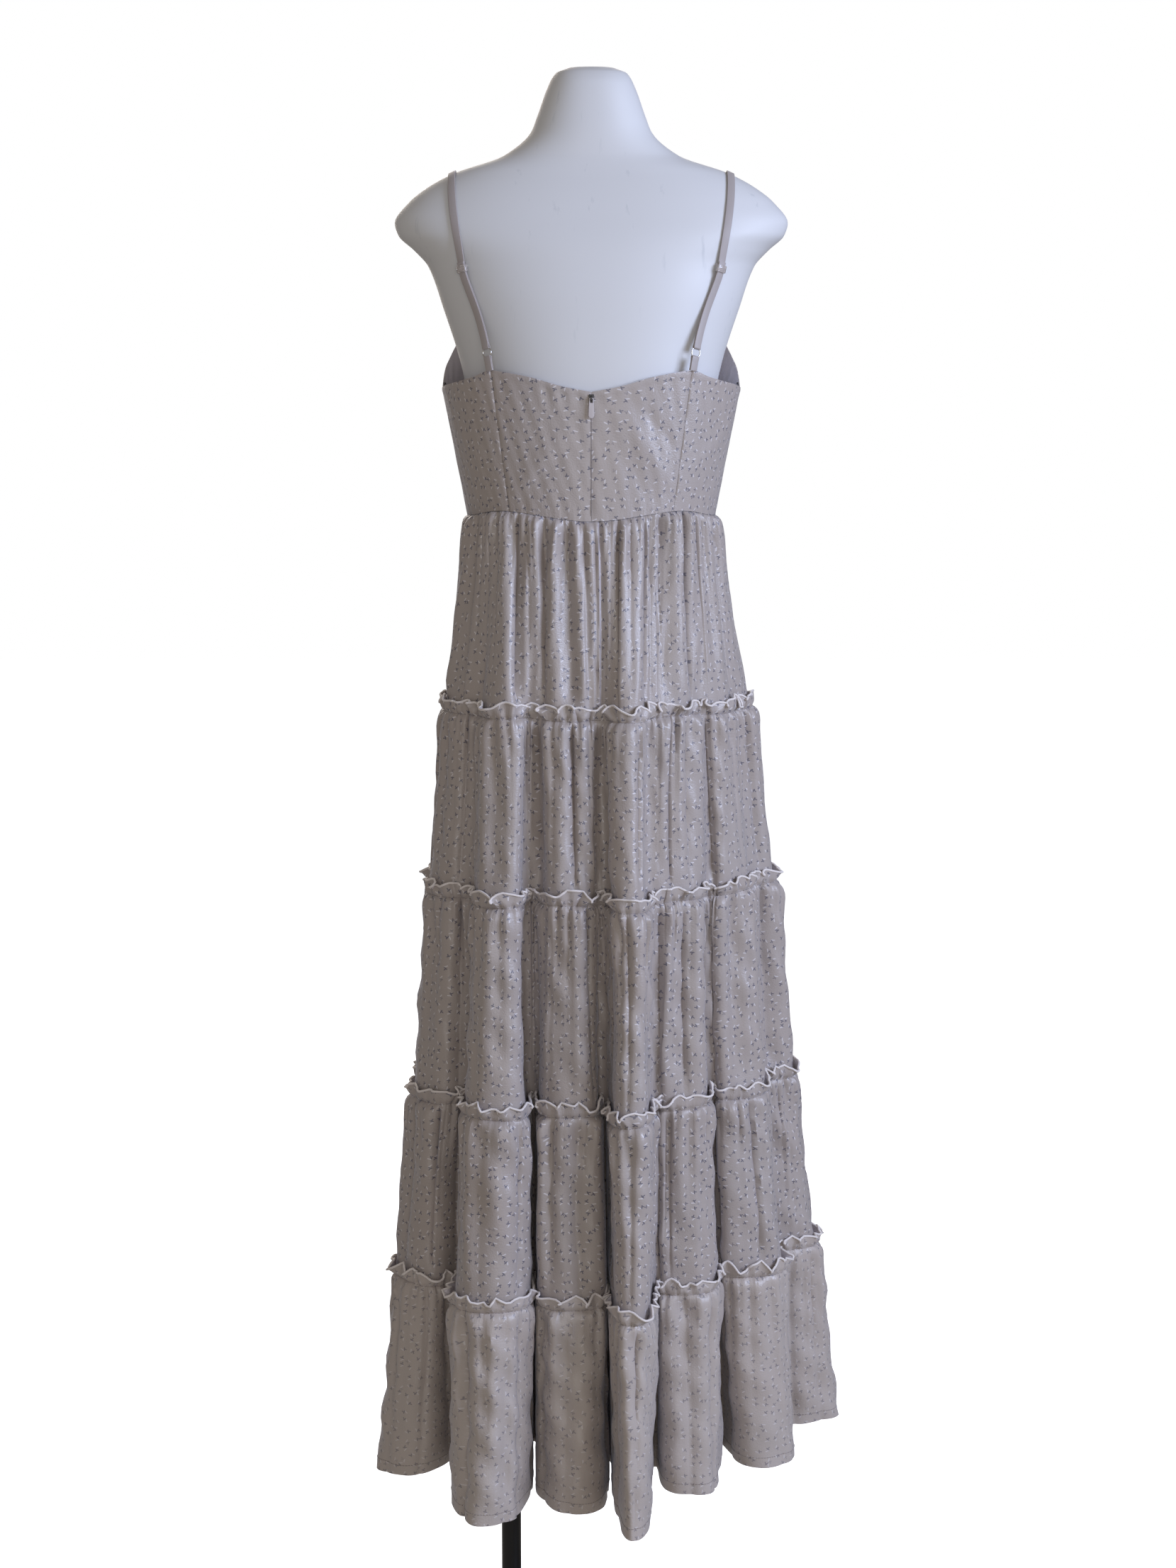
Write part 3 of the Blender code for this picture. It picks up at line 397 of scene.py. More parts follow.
@dataclass
class TrimNodes:
    """Geometry Nodes that turn a line into a tube or a row of stitches.

    Args:
        sides: The number of sides of a tube or a stitch.
    """

    sides: int = 6

    def _tree(self, name: str, sizes: dict[str, float]) -> tuple[NodeTree, Node, dict[str, str]]:
        """Returns a new tree, its input node and its inputs' identifiers."""
        tree = bpy.data.node_groups.new(name, "GeometryNodeTree")
        tree.interface.new_socket("Line", in_out="INPUT", socket_type="NodeSocketGeometry")
        names = {}
        for label, value in sizes.items():
            socket = tree.interface.new_socket(label, in_out="INPUT", socket_type="NodeSocketFloat")
            socket.default_value = value
            names[label] = socket.identifier
        tree.interface.new_socket("Trim", in_out="OUTPUT", socket_type="NodeSocketGeometry")
        return tree, add_node(tree, "NodeGroupInput"), names

    def _run(self, line: Object, tree: NodeTree, values: dict[str, float], finish: Material) -> Object:
        """Runs the tree on a line and returns the result as a plain mesh object."""
        modifier = line.modifiers.new("trim", "NODES")
        modifier.node_group = tree
        for identifier, value in values.items():
            modifier[identifier] = value
        shape = line.evaluated_get(bpy.context.evaluated_depsgraph_get())
        mesh = bpy.data.meshes.new_from_object(shape)
        line.modifiers.remove(modifier)
        old, line.data = line.data, mesh
        bpy.data.meshes.remove(old)
        if not mesh.materials:
            mesh.materials.append(finish)
        mesh.shade_smooth()
        return line

    def _finish(self, tree: NodeTree, shape: NodeSocket, finish: Material) -> None:
        """Ends a tree in Realize Instances and Set Material."""
        real = add_node(tree, "GeometryNodeRealizeInstances", {"Geometry": shape})
        inputs = {"Geometry": real.outputs[0], "Material": finish}
        dressed = add_node(tree, "GeometryNodeSetMaterial", inputs)
        add_node(tree, "NodeGroupOutput", {0: dressed.outputs[0]})

    def tube(self, name: str, points: Array, closed: bool, radius: float, finish: Material) -> Object:
        """Makes a tube along a line.

        Args:
            name: The piece's name.
            points: The line.
            closed: Whether the line joins up.
            radius: The tube's radius.
            finish: Its material.

        Returns:
            A plain mesh object.
        """
        tree, given, names = self._tree(f"{name}_tube", {"Radius": radius})
        curve = add_node(tree, "GeometryNodeMeshToCurve", {"Mesh": given.outputs["Line"]})
        section = add_node(tree, "GeometryNodeCurvePrimitiveCircle", {
            "Resolution": self.sides, "Radius": given.outputs["Radius"]})
        tube = add_node(tree, "GeometryNodeCurveToMesh", {
            "Curve": curve.outputs[0], "Profile Curve": section.outputs[0], "Fill Caps": True})
        self._finish(tree, tube.outputs[0], finish)
        return self._run(line_mesh(name, points, closed), tree, {names["Radius"]: radius}, finish)

    def stitches(
        self, name: str, points: Array, closed: bool, pitch: float, length: float, radius: float,
        finish: Material,
    ) -> Object:
        """Makes a row of short rods along a line.

        Args:
            name: The piece's name.
            points: The line.
            closed: Whether the line joins up.
            pitch: The space from one rod to the next.
            length: A rod's length.
            radius: A rod's radius.
            finish: Their material.

        Returns:
            A plain mesh object.
        """
        sizes = {"Pitch": pitch, "Length": length, "Radius": radius}
        tree, given, names = self._tree(f"{name}_rods", sizes)
        curve = add_node(tree, "GeometryNodeMeshToCurve", {"Mesh": given.outputs["Line"]})
        spots = add_node(tree, "GeometryNodeCurveToPoints", {
            "Curve": curve.outputs[0], "Length": given.outputs["Pitch"]}, mode="LENGTH")
        rod = add_node(tree, "GeometryNodeMeshCylinder", {
            "Vertices": self.sides, "Radius": given.outputs["Radius"], "Depth": given.outputs["Length"]})
        placed = add_node(tree, "GeometryNodeInstanceOnPoints", {
            "Points": spots.outputs["Points"], "Instance": rod.outputs["Mesh"],
            "Rotation": spots.outputs["Rotation"]})
        self._finish(tree, placed.outputs[0], finish)
        values = {names[label]: value for label, value in sizes.items()}
        return self._run(line_mesh(name, points, closed), tree, values, finish)


# Finishes


class Stroke(NamedTuple):
    """A round-ended stroke of the print, in degrees and millimetres from its sprig's middle."""

    turn_deg: float
    shift_x: float
    shift_y: float
    half_length: float
    half_width: float


@dataclass(frozen=True)
class PrintedCrepe:
    """Polyester crepe with a satin face, printed with small sprigs.

    Woven with tightly twisted weft, so its face is faintly pebbled and takes a soft sheen. A sprig is a dark
    stroke and a dark speck beside a white stroke, 4 to 6 mm across, about 10 mm from the next and turned any
    way. Where the cloth is gathered, fine crimps run down from the stitches.

    Args:
        name: The material's name.
        ground: The cloth's colour.
        dark: The dark strokes' colour.
        pale: The white stroke's colour.
        strength: How strongly the print shows, from 0 to 1.
        sheen: The weight of the soft sheen.
        pale_share: The white stroke's strength against the dark ones'.
        spacing_mm: The mean distance from one sprig to the next.
        tones: Slow changes of tone to a metre, one every 110 mm.
        pebble_mm: The size of the face's pebbles, drawn coarser than real ones so that they show.
        pebble_depth_mm: Their height.
        crimps: Crimps to a metre, 6.7 mm apart across the cloth and 90 mm long.
        crimp_share: The crimps' height against the pebbles'.
        dark_strokes: The strokes in the dark colour.
        pale_stroke: The stroke in the white colour.
    """

    name: str = "printed_polyester_crepe"
    ground: str = "#A79F9B"
    dark: str = "#5D5B67"
    pale: str = "#D9D6DA"
    strength: float = 0.9
    sheen: float = 0.5
    pale_share: float = 0.75
    spacing_mm: float = 9.6
    tones: float = 9.0
    pebble_mm: float = 1.6
    pebble_depth_mm: float = 0.3
    crimps: tuple[float, float] = (150.0, 11.0)
    crimp_share: float = 9.0
    dark_strokes: tuple[Stroke, Stroke] = (Stroke(30, 0.3, 1.1, 1.4, 0.55), Stroke(-50, 2.4, 0.3, 0.9, 0.5))
    pale_stroke: Stroke = Stroke(-28, 0.0, -1.3, 1.5, 0.5)

    def _stroke(self, tree: NodeTree, place: NodeSocket, stroke: Stroke) -> NodeSocket:
        """Returns a mask that is 1 inside one round-ended stroke.

        Args:
            tree: The material's nodes.
            place: Coordinates from the sprig's middle, in metres.
            stroke: The stroke's turn, place and size.

        Returns:
            The mask's socket.
        """
        turned = add_node(tree, "ShaderNodeMapping", {
            "Vector": place, "Location": (stroke.shift_x * MM, stroke.shift_y * MM, 0),
            "Rotation": (0, 0, math.radians(stroke.turn_deg))})
        parts = add_node(tree, "ShaderNodeSeparateXYZ", {0: turned.outputs[0]})
        half_length, half_width = stroke.half_length * MM, stroke.half_width * MM
        beyond = math_node(tree, "SUBTRACT", math_node(tree, "ABSOLUTE", parts.outputs["X"]), half_length)
        beyond = math_node(tree, "MAXIMUM", beyond, 0.0)
        across = math_node(tree, "MULTIPLY", parts.outputs["Y"], parts.outputs["Y"])
        squared = math_node(tree, "ADD", math_node(tree, "MULTIPLY", beyond, beyond), across)
        away = math_node(tree, "SQRT", squared)
        mask = add_node(tree, "ShaderNodeMapRange", {
            "Value": away, "From Min": half_width * 0.7, "From Max": half_width * 1.35,
            "To Min": 1.0, "To Max": 0.0})
        return mask.outputs[0]

    def build(self) -> Material:
        """Builds the material."""
        made = bpy.data.materials.new(self.name)
        made.use_nodes = True
        tree = made.node_tree
        shader = tree.nodes["Principled BSDF"]
        flat = add_node(tree, "ShaderNodeUVMap", uv_map="flat").outputs[0]
        cells = add_node(tree, "ShaderNodeTexVoronoi", {
            "Vector": flat, "Scale": 1000 / self.spacing_mm, "Randomness": 0.6}, voronoi_dimensions="2D")
        local = add_node(tree, "ShaderNodeVectorMath", {
            0: flat, 1: cells.outputs["Position"]}, operation="SUBTRACT").outputs[0]
        chance = add_node(tree, "ShaderNodeSeparateColor", {0: cells.outputs["Color"]})
        angle = math_node(tree, "MULTIPLY", chance.outputs[0], 2 * math.pi)
        place = add_node(tree, "ShaderNodeVectorRotate", {
            "Vector": local, "Angle": angle}, rotation_type="Z_AXIS").outputs[0]
        dark, speck = (self._stroke(tree, place, stroke) for stroke in self.dark_strokes)
        pale = self._stroke(tree, place, self.pale_stroke)
        dark = math_node(tree, "MAXIMUM", dark, speck)
        # About a third of the sprigs are fainter than the others
        some = add_node(tree, "ShaderNodeMapRange", {
            "Value": chance.outputs[1], "From Min": 0.0, "From Max": 0.35, "To Min": 0.35, "To Max": 1.0})
        dark = math_node(tree, "MULTIPLY", math_node(tree, "MULTIPLY", dark, some.outputs[0]), self.strength)
        pale = math_node(tree, "MULTIPLY", pale, self.pale_share * self.strength)
        tone = add_node(tree, "ShaderNodeTexNoise", {"Vector": flat, "Scale": self.tones, "Detail": 2.0})
        ground = mix_colours(tree, tone.outputs[0], linear(self.ground), self._warmer())
        with_pale = mix_colours(tree, pale, ground, linear(self.pale))
        colour = mix_colours(tree, dark, with_pale, linear(self.dark))
        tree.links.new(colour, shader.inputs["Base Color"])
        pebble = add_node(tree, "ShaderNodeTexNoise", {
            "Vector": flat, "Scale": 1000 / self.pebble_mm, "Detail": 1.0, "Roughness": 0.4})
        squeeze = add_node(tree, "ShaderNodeMapping", {"Vector": flat, "Scale": (*self.crimps, 1.0)})
        crimp = add_node(tree, "ShaderNodeTexNoise", {
            "Vector": squeeze.outputs[0], "Scale": 1.0, "Detail": 2.0, "Roughness": 0.5})
        held = add_node(tree, "ShaderNodeAttribute", attribute_name="gathered")
        crimps = math_node(tree, "MULTIPLY", crimp.outputs[0], held.outputs["Fac"])
        height = math_node(tree, "MULTIPLY_ADD", crimps, self.crimp_share, pebble.outputs[0])
        bump = add_node(tree, "ShaderNodeBump", {
            "Height": height, "Distance": self.pebble_depth_mm * MM, "Strength": 0.8})
        tree.links.new(bump.outputs[0], shader.inputs["Normal"])
        shader.inputs["Roughness"].default_value = 0.4
        shader.inputs["Specular IOR Level"].default_value = 0.6
        shader.inputs["Sheen Weight"].default_value = self.sheen
        shader.inputs["Sheen Roughness"].default_value = 0.4
        # The sheen's bluish tint is painted light: it stands in for the cool window light's colour on the
        # satin highlights
        shader.inputs["Sheen Tint"].default_value = linear("#C4CCE2")
        return made

    def _warmer(self) -> tuple[float, float, float, float]:
        """Returns the ground a little warmer and darker, for its slow changes of tone."""
        red, green, blue, alpha = linear(self.ground)
        return (red * 0.97, green * 0.93, blue * 0.90, alpha)


@dataclass(frozen=True)
class PlainFinish:
    """One of the plainer surfaces, with fine grain, a slow change of gloss and scuffs.

    Args:
        name: The material's name.
        colour: Its colour.
        roughness: Its roughness.
        metallic: 1 for a metal.
        grain_mm: The size of its fine grain.
        grain_depth_mm: The height of that grain.
        marks: How strongly scuffs or smudges show, from 0 to 1.
        mark_colour: The scuffs' colour.
        transmission: How much light passes through.
        sheen: The weight of a soft sheen.
        tones: Slow changes of gloss to a metre, one every 70 mm.
        scuffs: Scuffs to a metre, 17 mm wide and 110 mm long.
    """

    name: str
    colour: str
    roughness: float
    metallic: float = 0.0
    grain_mm: float = 1.0
    grain_depth_mm: float = 0.02
    marks: float = 0.0
    mark_colour: str = "#8A8A8A"
    transmission: float = 0.0
    sheen: float = 0.0
    tones: float = 14.0
    scuffs: tuple[float, float, float] = (60.0, 60.0, 9.0)

    def build(self) -> Material:
        """Builds the material."""
        made = bpy.data.materials.new(self.name)
        made.use_nodes = True
        tree = made.node_tree
        shader = tree.nodes["Principled BSDF"]
        place = add_node(tree, "ShaderNodeTexCoord").outputs["Object"]
        grain = add_node(tree, "ShaderNodeTexNoise", {
            "Vector": place, "Scale": 1000 / self.grain_mm, "Detail": 2.0})
        bump = add_node(tree, "ShaderNodeBump", {
            "Height": grain.outputs[0], "Distance": self.grain_depth_mm * MM, "Strength": 1.0})
        tree.links.new(bump.outputs[0], shader.inputs["Normal"])
        slow = add_node(tree, "ShaderNodeTexNoise", {"Vector": place, "Scale": self.tones, "Detail": 3.0})
        rough = add_node(tree, "ShaderNodeMapRange", {
            "Value": slow.outputs[0], "From Min": 0.3, "From Max": 0.7,
            "To Min": self.roughness * 0.88, "To Max": min(1.0, self.roughness * 1.12)})
        tree.links.new(rough.outputs[0], shader.inputs["Roughness"])
        stretched = add_node(tree, "ShaderNodeMapping", {
            "Vector": place, "Scale": self.scuffs, "Rotation": (0.4, 0.6, 0.2)})
        scuff = add_node(tree, "ShaderNodeTexNoise", {
            "Vector": stretched.outputs[0], "Scale": 1.0, "Detail": 4.0, "Roughness": 0.65})
        mask = add_node(tree, "ShaderNodeMapRange", {
            "Value": scuff.outputs[0], "From Min": 0.64, "From Max": 0.74, "To Min": 0.0,
            "To Max": self.marks})
        mixed = mix_colours(tree, mask.outputs[0], linear(self.colour), linear(self.mark_colour))
        tree.links.new(mixed, shader.inputs["Base Color"])
        shader.inputs["Metallic"].default_value = self.metallic
        shader.inputs["Transmission Weight"].default_value = self.transmission
        shader.inputs["Sheen Weight"].default_value = self.sheen
        return made


@dataclass
class Wardrobe:
    """All the finishes, built once."""

    def __post_init__(self) -> None:
        """Builds each material."""
        self.crepe = PrintedCrepe().build()
        # A single layer with no lining behind it: its ground is painted lighter, as painted light shining
        # through it, and its print is fainter
        self.voile = PrintedCrepe("printed_crepe_unlined_painted_light", ground="#B2AAA5", strength=0.6, sheen=0.45).build()
        # The unprinted reverse of the cloth, duller than its face; its colour is painted pale, as painted
        # light on inner faces that lie in shade
        self.reverse = PlainFinish("crepe_reverse_painted_light", "#D8D2D8", 0.75, grain_mm=1.6,
                                   grain_depth_mm=0.08).build()
        # Overlocked edge in close polyester thread, paler than the cloth
        self.lip = PlainFinish("overlocked_thread", "#DCD5D2", 0.6, grain_mm=1.0, grain_depth_mm=0.2,
                               sheen=0.3).build()
        # Single sewing thread, much as the cloth
        self.thread = PlainFinish("polyester_thread", "#8C8381", 0.6, grain_mm=0.6, sheen=0.2).build()
        # Black cord of twisted polyester for the hanging loops
        self.thread_black = PlainFinish("black_cord", "#1D1C1F", 0.6, grain_mm=0.6, sheen=0.2).build()
        # Narrow tape of the same crepe, unprinted, with a soft sheen
        self.tape = PlainFinish("crepe_tape", "#A29A98", 0.5, grain_mm=1.2, grain_depth_mm=0.08,
                                sheen=0.3).build()
        # Glass fibre shell with matte paint, lightly scuffed from handling
        self.shell = PlainFinish("matte_painted_shell", "#D2D3D5", 0.5, grain_mm=0.9, grain_depth_mm=0.01,
                                 marks=0.35, mark_colour="#9AA0A8").build()
        # Steel with black powder coat, whose fine orange peel breaks up its gloss
        self.powder = PlainFinish("black_powder_coat", "#121213", 0.42, grain_mm=1.4, grain_depth_mm=0.04,
                                  marks=0.2, mark_colour="#3A3A3C").build()
        # Plated steel wire, rubbed bright
        self.nickel = PlainFinish("nickel_plated_steel", "#C9C6C0", 0.24, metallic=1.0, grain_mm=0.5,
                                  grain_depth_mm=0.004).build()
        # Injection-moulded clear nylon
        self.nylon = PlainFinish("clear_moulded_nylon", "#E6E0DD", 0.16, transmission=0.75, grain_mm=1.5,
                                 grain_depth_mm=0.01).build()
        # Zinc casting with stoved enamel, thin at its edges
        self.enamel = PlainFinish("enamelled_zinc", "#B9B2B3", 0.3, grain_mm=0.8, grain_depth_mm=0.01,
                                  marks=0.4, mark_colour="#77726F").build()
        # The same casting in a dark enamel, for the slider that sits in the chain
        self.dark_enamel = PlainFinish("dark_enamelled_zinc", "#2A2829", 0.35, grain_mm=0.8).build()
        # Seamless studio paper
        self.paper = PlainFinish("studio_paper", "#F7F7F7", 0.9, grain_mm=3.0, grain_depth_mm=0.02).build()


# Skirt


@dataclass(frozen=True)
class FoldPlan:
    """The skirt's outline in plan, from the waist's oval to the hem's deep organ-pipe folds.

    Args:
        valley_handle: How round a valley is at the hem.
        crest_share: How round a crest is at the hem, as a share of its width.
        shallow_share: The same near the waist, as a share of half a fold.
        coarse_points: Points of the outline that a gap across a valley is measured to.
        own_cloth: The nearest that cloth across a valley can be.
        gap_share: The most of such a gap that may be filled from one side.
        bend_share: The most of a bend's own radius that may be filled from inside it.
    """

    valley_handle: float = 13 * MM
    crest_share: float = 0.95
    shallow_share: float = 0.45
    coarse_points: int = 224
    own_cloth: float = 4 * MM
    gap_share: float = 0.36
    bend_share: float = 0.55

    def waist_degrees(self, steps: int) -> Array:
        """Returns the angles round the waist of the outline's points."""
        crest = np.array([fold.waist_deg for fold in FOLDS], float)
        following = np.append(crest[1:], crest[0] + 360)
        knots = np.append(np.stack((crest, (crest + following) / 2), axis=-1).ravel(), crest[0] + 360)
        return np.interp(np.arange(HALF_FOLDS * steps) / steps, np.arange(len(knots)), knots)

    def waist(self, steps: int) -> Array:
        """Returns the waist's outline with this many points to half a fold."""
        return oval_point(self.waist_degrees(steps), WAIST_OVAL, CLOTH_POWER)

    def outline(self, level: Level, steps: int) -> Array:
        """Returns the cloth's outline at a seam.

        Args:
            level: The seam.
            steps: Points to half a fold.

        Returns:
            x and y of each point, counter-clockwise from the first crest.
        """
        waist = self.waist(steps)
        if level.spread == 0:
            return waist
        # The crests and valleys come away from the waist's oval by the level's shares
        table = np.array(FOLDS)
        hem_crest, width, hem_valley = table[:, 1:3], table[:, 3], table[:, 4:6]
        hem_edge = (hem_crest + np.roll(hem_crest, -1, axis=0)) / 2
        crest = waist[:: 2 * steps] * (1 - level.spread) + hem_crest * level.spread
        valley = waist[steps :: 2 * steps] * (1 - level.spread) + hem_edge * level.spread
        valley = valley + level.sink * (hem_valley - hem_edge)
        # Near the waist they point straight out, and lower down away from each other
        oval_out, lean = outward(waist), min(1.0, 2 * level.sink)
        crest_out = unit(crest - (valley + np.roll(valley, 1, axis=0)) / 2)
        crest_out = unit(oval_out[:: 2 * steps] * (1 - lean) + crest_out * lean)
        valley_out = unit((crest + np.roll(crest, -1, axis=0)) / 2 - valley)
        valley_out = unit(oval_out[steps :: 2 * steps] * (1 - lean) + valley_out * lean)
        # Half a fold is one cubic curve, with its handles along the cloth at the crest and the valley
        part = (np.arange(steps) / steps)[:, None]
        halves = []
        for fold in range(len(FOLDS)):
            after = (fold + 1) % len(FOLDS)
            for down in (True, False):
                start, end = (crest[fold], valley[fold]) if down else (valley[fold], crest[after])
                top = fold if down else after
                shallow = self.shallow_share * np.linalg.norm(end - start) * (1 - lean)
                crest_handle = shallow + self.crest_share * width[top] * lean
                valley_handle = shallow + self.valley_handle * lean
                first = np.array((-crest_out[top][1], crest_out[top][0])) * crest_handle
                second = np.array((-valley_out[fold][1], valley_out[fold][0])) * valley_handle
                if not down:
                    first, second = second, first
                rest = 1 - part
                near = rest**3 * start + 3 * rest**2 * part * (start + first)
                halves.append(near + 3 * rest * part**2 * (end - second) + part**3 * end)
        return np.concatenate(halves)

    def at(self, height: float, plans: list[Array]) -> Array:
        """Returns the outline at any height, straight between two seams."""
        upper = 0
        while upper < len(LEVELS) - 2 and height < LEVELS[upper + 1].height:
            upper += 1
        part = (LEVELS[upper].height - height) / (LEVELS[upper].height - LEVELS[upper + 1].height)
        return plans[upper] * (1 - part) + plans[upper + 1] * part

    def room(self, plan: Array) -> Array:
        """Returns how far each point can move out before it meets the cloth across its valley."""
        away = outward(plan)
        coarse = plan[:: max(1, len(plan) // self.coarse_points)]
        ahead = np.roll(coarse, -1, axis=0) - coarse
        start = coarse[None] - plan[:, None]
        turn = away[:, None, 0] * ahead[None, :, 1] - away[:, None, 1] * ahead[None, :, 0]
        turn = np.where(np.abs(turn) < NO_LENGTH, NO_LENGTH, turn)
        on_ray = (start[..., 0] * ahead[None, :, 1] - start[..., 1] * ahead[None, :, 0]) / turn
        on_cloth = (start[..., 0] * away[:, None, 1] - start[..., 1] * away[:, None, 0]) / turn
        meets = (on_ray > self.own_cloth) & (on_cloth >= 0) & (on_cloth <= 1)
        across = np.where(meets, on_ray, 1.0).min(axis=1)
        # Inside a bend the cloth may not go past the bend's own middle
        next_away = np.roll(away, -1, axis=0)
        step = np.roll(plan, -1, axis=0) - plan
        closing = -np.sum(step * (next_away - away), axis=1)
        bend = np.where(closing > 0, np.sum(step**2, axis=1) / np.maximum(closing, NO_LENGTH), 1.0)
        bend = np.minimum(bend, np.roll(bend, 1))
        return np.minimum(self.gap_share * across, self.bend_share * bend)


class Swell(NamedTuple):
    """A rise or dip of the waist seam: its height, its angle from the centre back and its half width."""

    height: float
    aside_deg: float
    half_deg: float


WAIST_SWELLS = (Swell(6.5 * MM, 42, 22), Swell(-3.5 * MM, 0, 16))


def waist_rise(degrees: Array) -> Array:
    """Returns how far the waist seam rises over its mean height at these angles, on the back alone."""
    aside = np.abs((np.asarray(degrees, float) + 90) % 360 - 180)
    return sum(height * np.exp(-(((aside - middle) / half) ** 2)) for height, middle, half in WAIST_SWELLS)


@dataclass(frozen=True)
class Pleats:
    """Uneven gathers round a seam.

    Args:
        seed: Makes them differ from tier to tier.
        pitch: Their mean width at the seam.
        height: How far the highest stands out.
        length: How far down they reach.
        crisp: Below 1 for ridges with sharp valleys, above 1 for soft ones.
        lean: How far their tops lean to one side or the other.
        sunk: The share of their height that lies under the cloth's mean face.
    """

    seed: int
    pitch: float
    height: float
    length: float
    crisp: float = 0.8
    lean: float = 0.5
    sunk: float = 0.0

    def at(self, share: Array, girth: float, below: Array, linger: float = 0.0) -> Array:
        """Returns how far the gathers stand out.

        Args:
            share: Each column's place round the seam, from 0 to 1.
            girth: The seam's length.
            below: Each row's distance below the stitches.
            linger: The share of their height that they keep all the way down.

        Returns:
            Heights by row and column.
        """
        chance = np.random.default_rng(self.seed)
        count = max(3, round(girth / self.pitch))
        edges = (np.arange(count) + chance.uniform(-0.34, 0.34, count)) / count
        edges = np.append(edges, edges[0] + 1)
        wrapped = np.where(share < edges[0], share + 1, share)
        cell = np.clip(np.searchsorted(edges, wrapped, side="right") - 1, 0, count - 1)
        phase = np.clip((wrapped - edges[cell]) / (edges[cell + 1] - edges[cell]), 0, 1)
        lean = np.exp(chance.uniform(-self.lean, self.lean, count))
        ridge = np.sin(np.pi * phase ** lean[cell]) ** self.crisp - self.sunk
        size = chance.uniform(0.35, 1.0, count) * np.clip(np.diff(edges) * count, 0.5, 1.3)
        reach = self.length * chance.uniform(0.45, 1.6, count)
        fade = np.exp(-((np.maximum(below, 0)[:, None] / reach[cell][None]) ** 1.3))
        return self.height * (size[cell] * ridge)[None] * (linger + (1 - linger) * fade)


def wobble(share: Array, seed: int, low: int, high: int) -> Array:
    """Returns a smooth uneven wave round a closed line.

    Args:
        share: Places round the line, from 0 to 1.
        seed: Makes one wave differ from another.
        low: The fewest waves to a turn.
        high: The most.

    Returns:
        Heights of about -1 to 1.
    """
    chance = np.random.default_rng(seed)
    total = np.zeros_like(share)
    for waves in range(low, high + 1):
        total += chance.normal() * np.sin(2 * math.pi * (waves * share + chance.uniform()))
    return np.clip(total / math.sqrt((high - low + 1) / 1.2), -1.6, 1.6) / 1.6


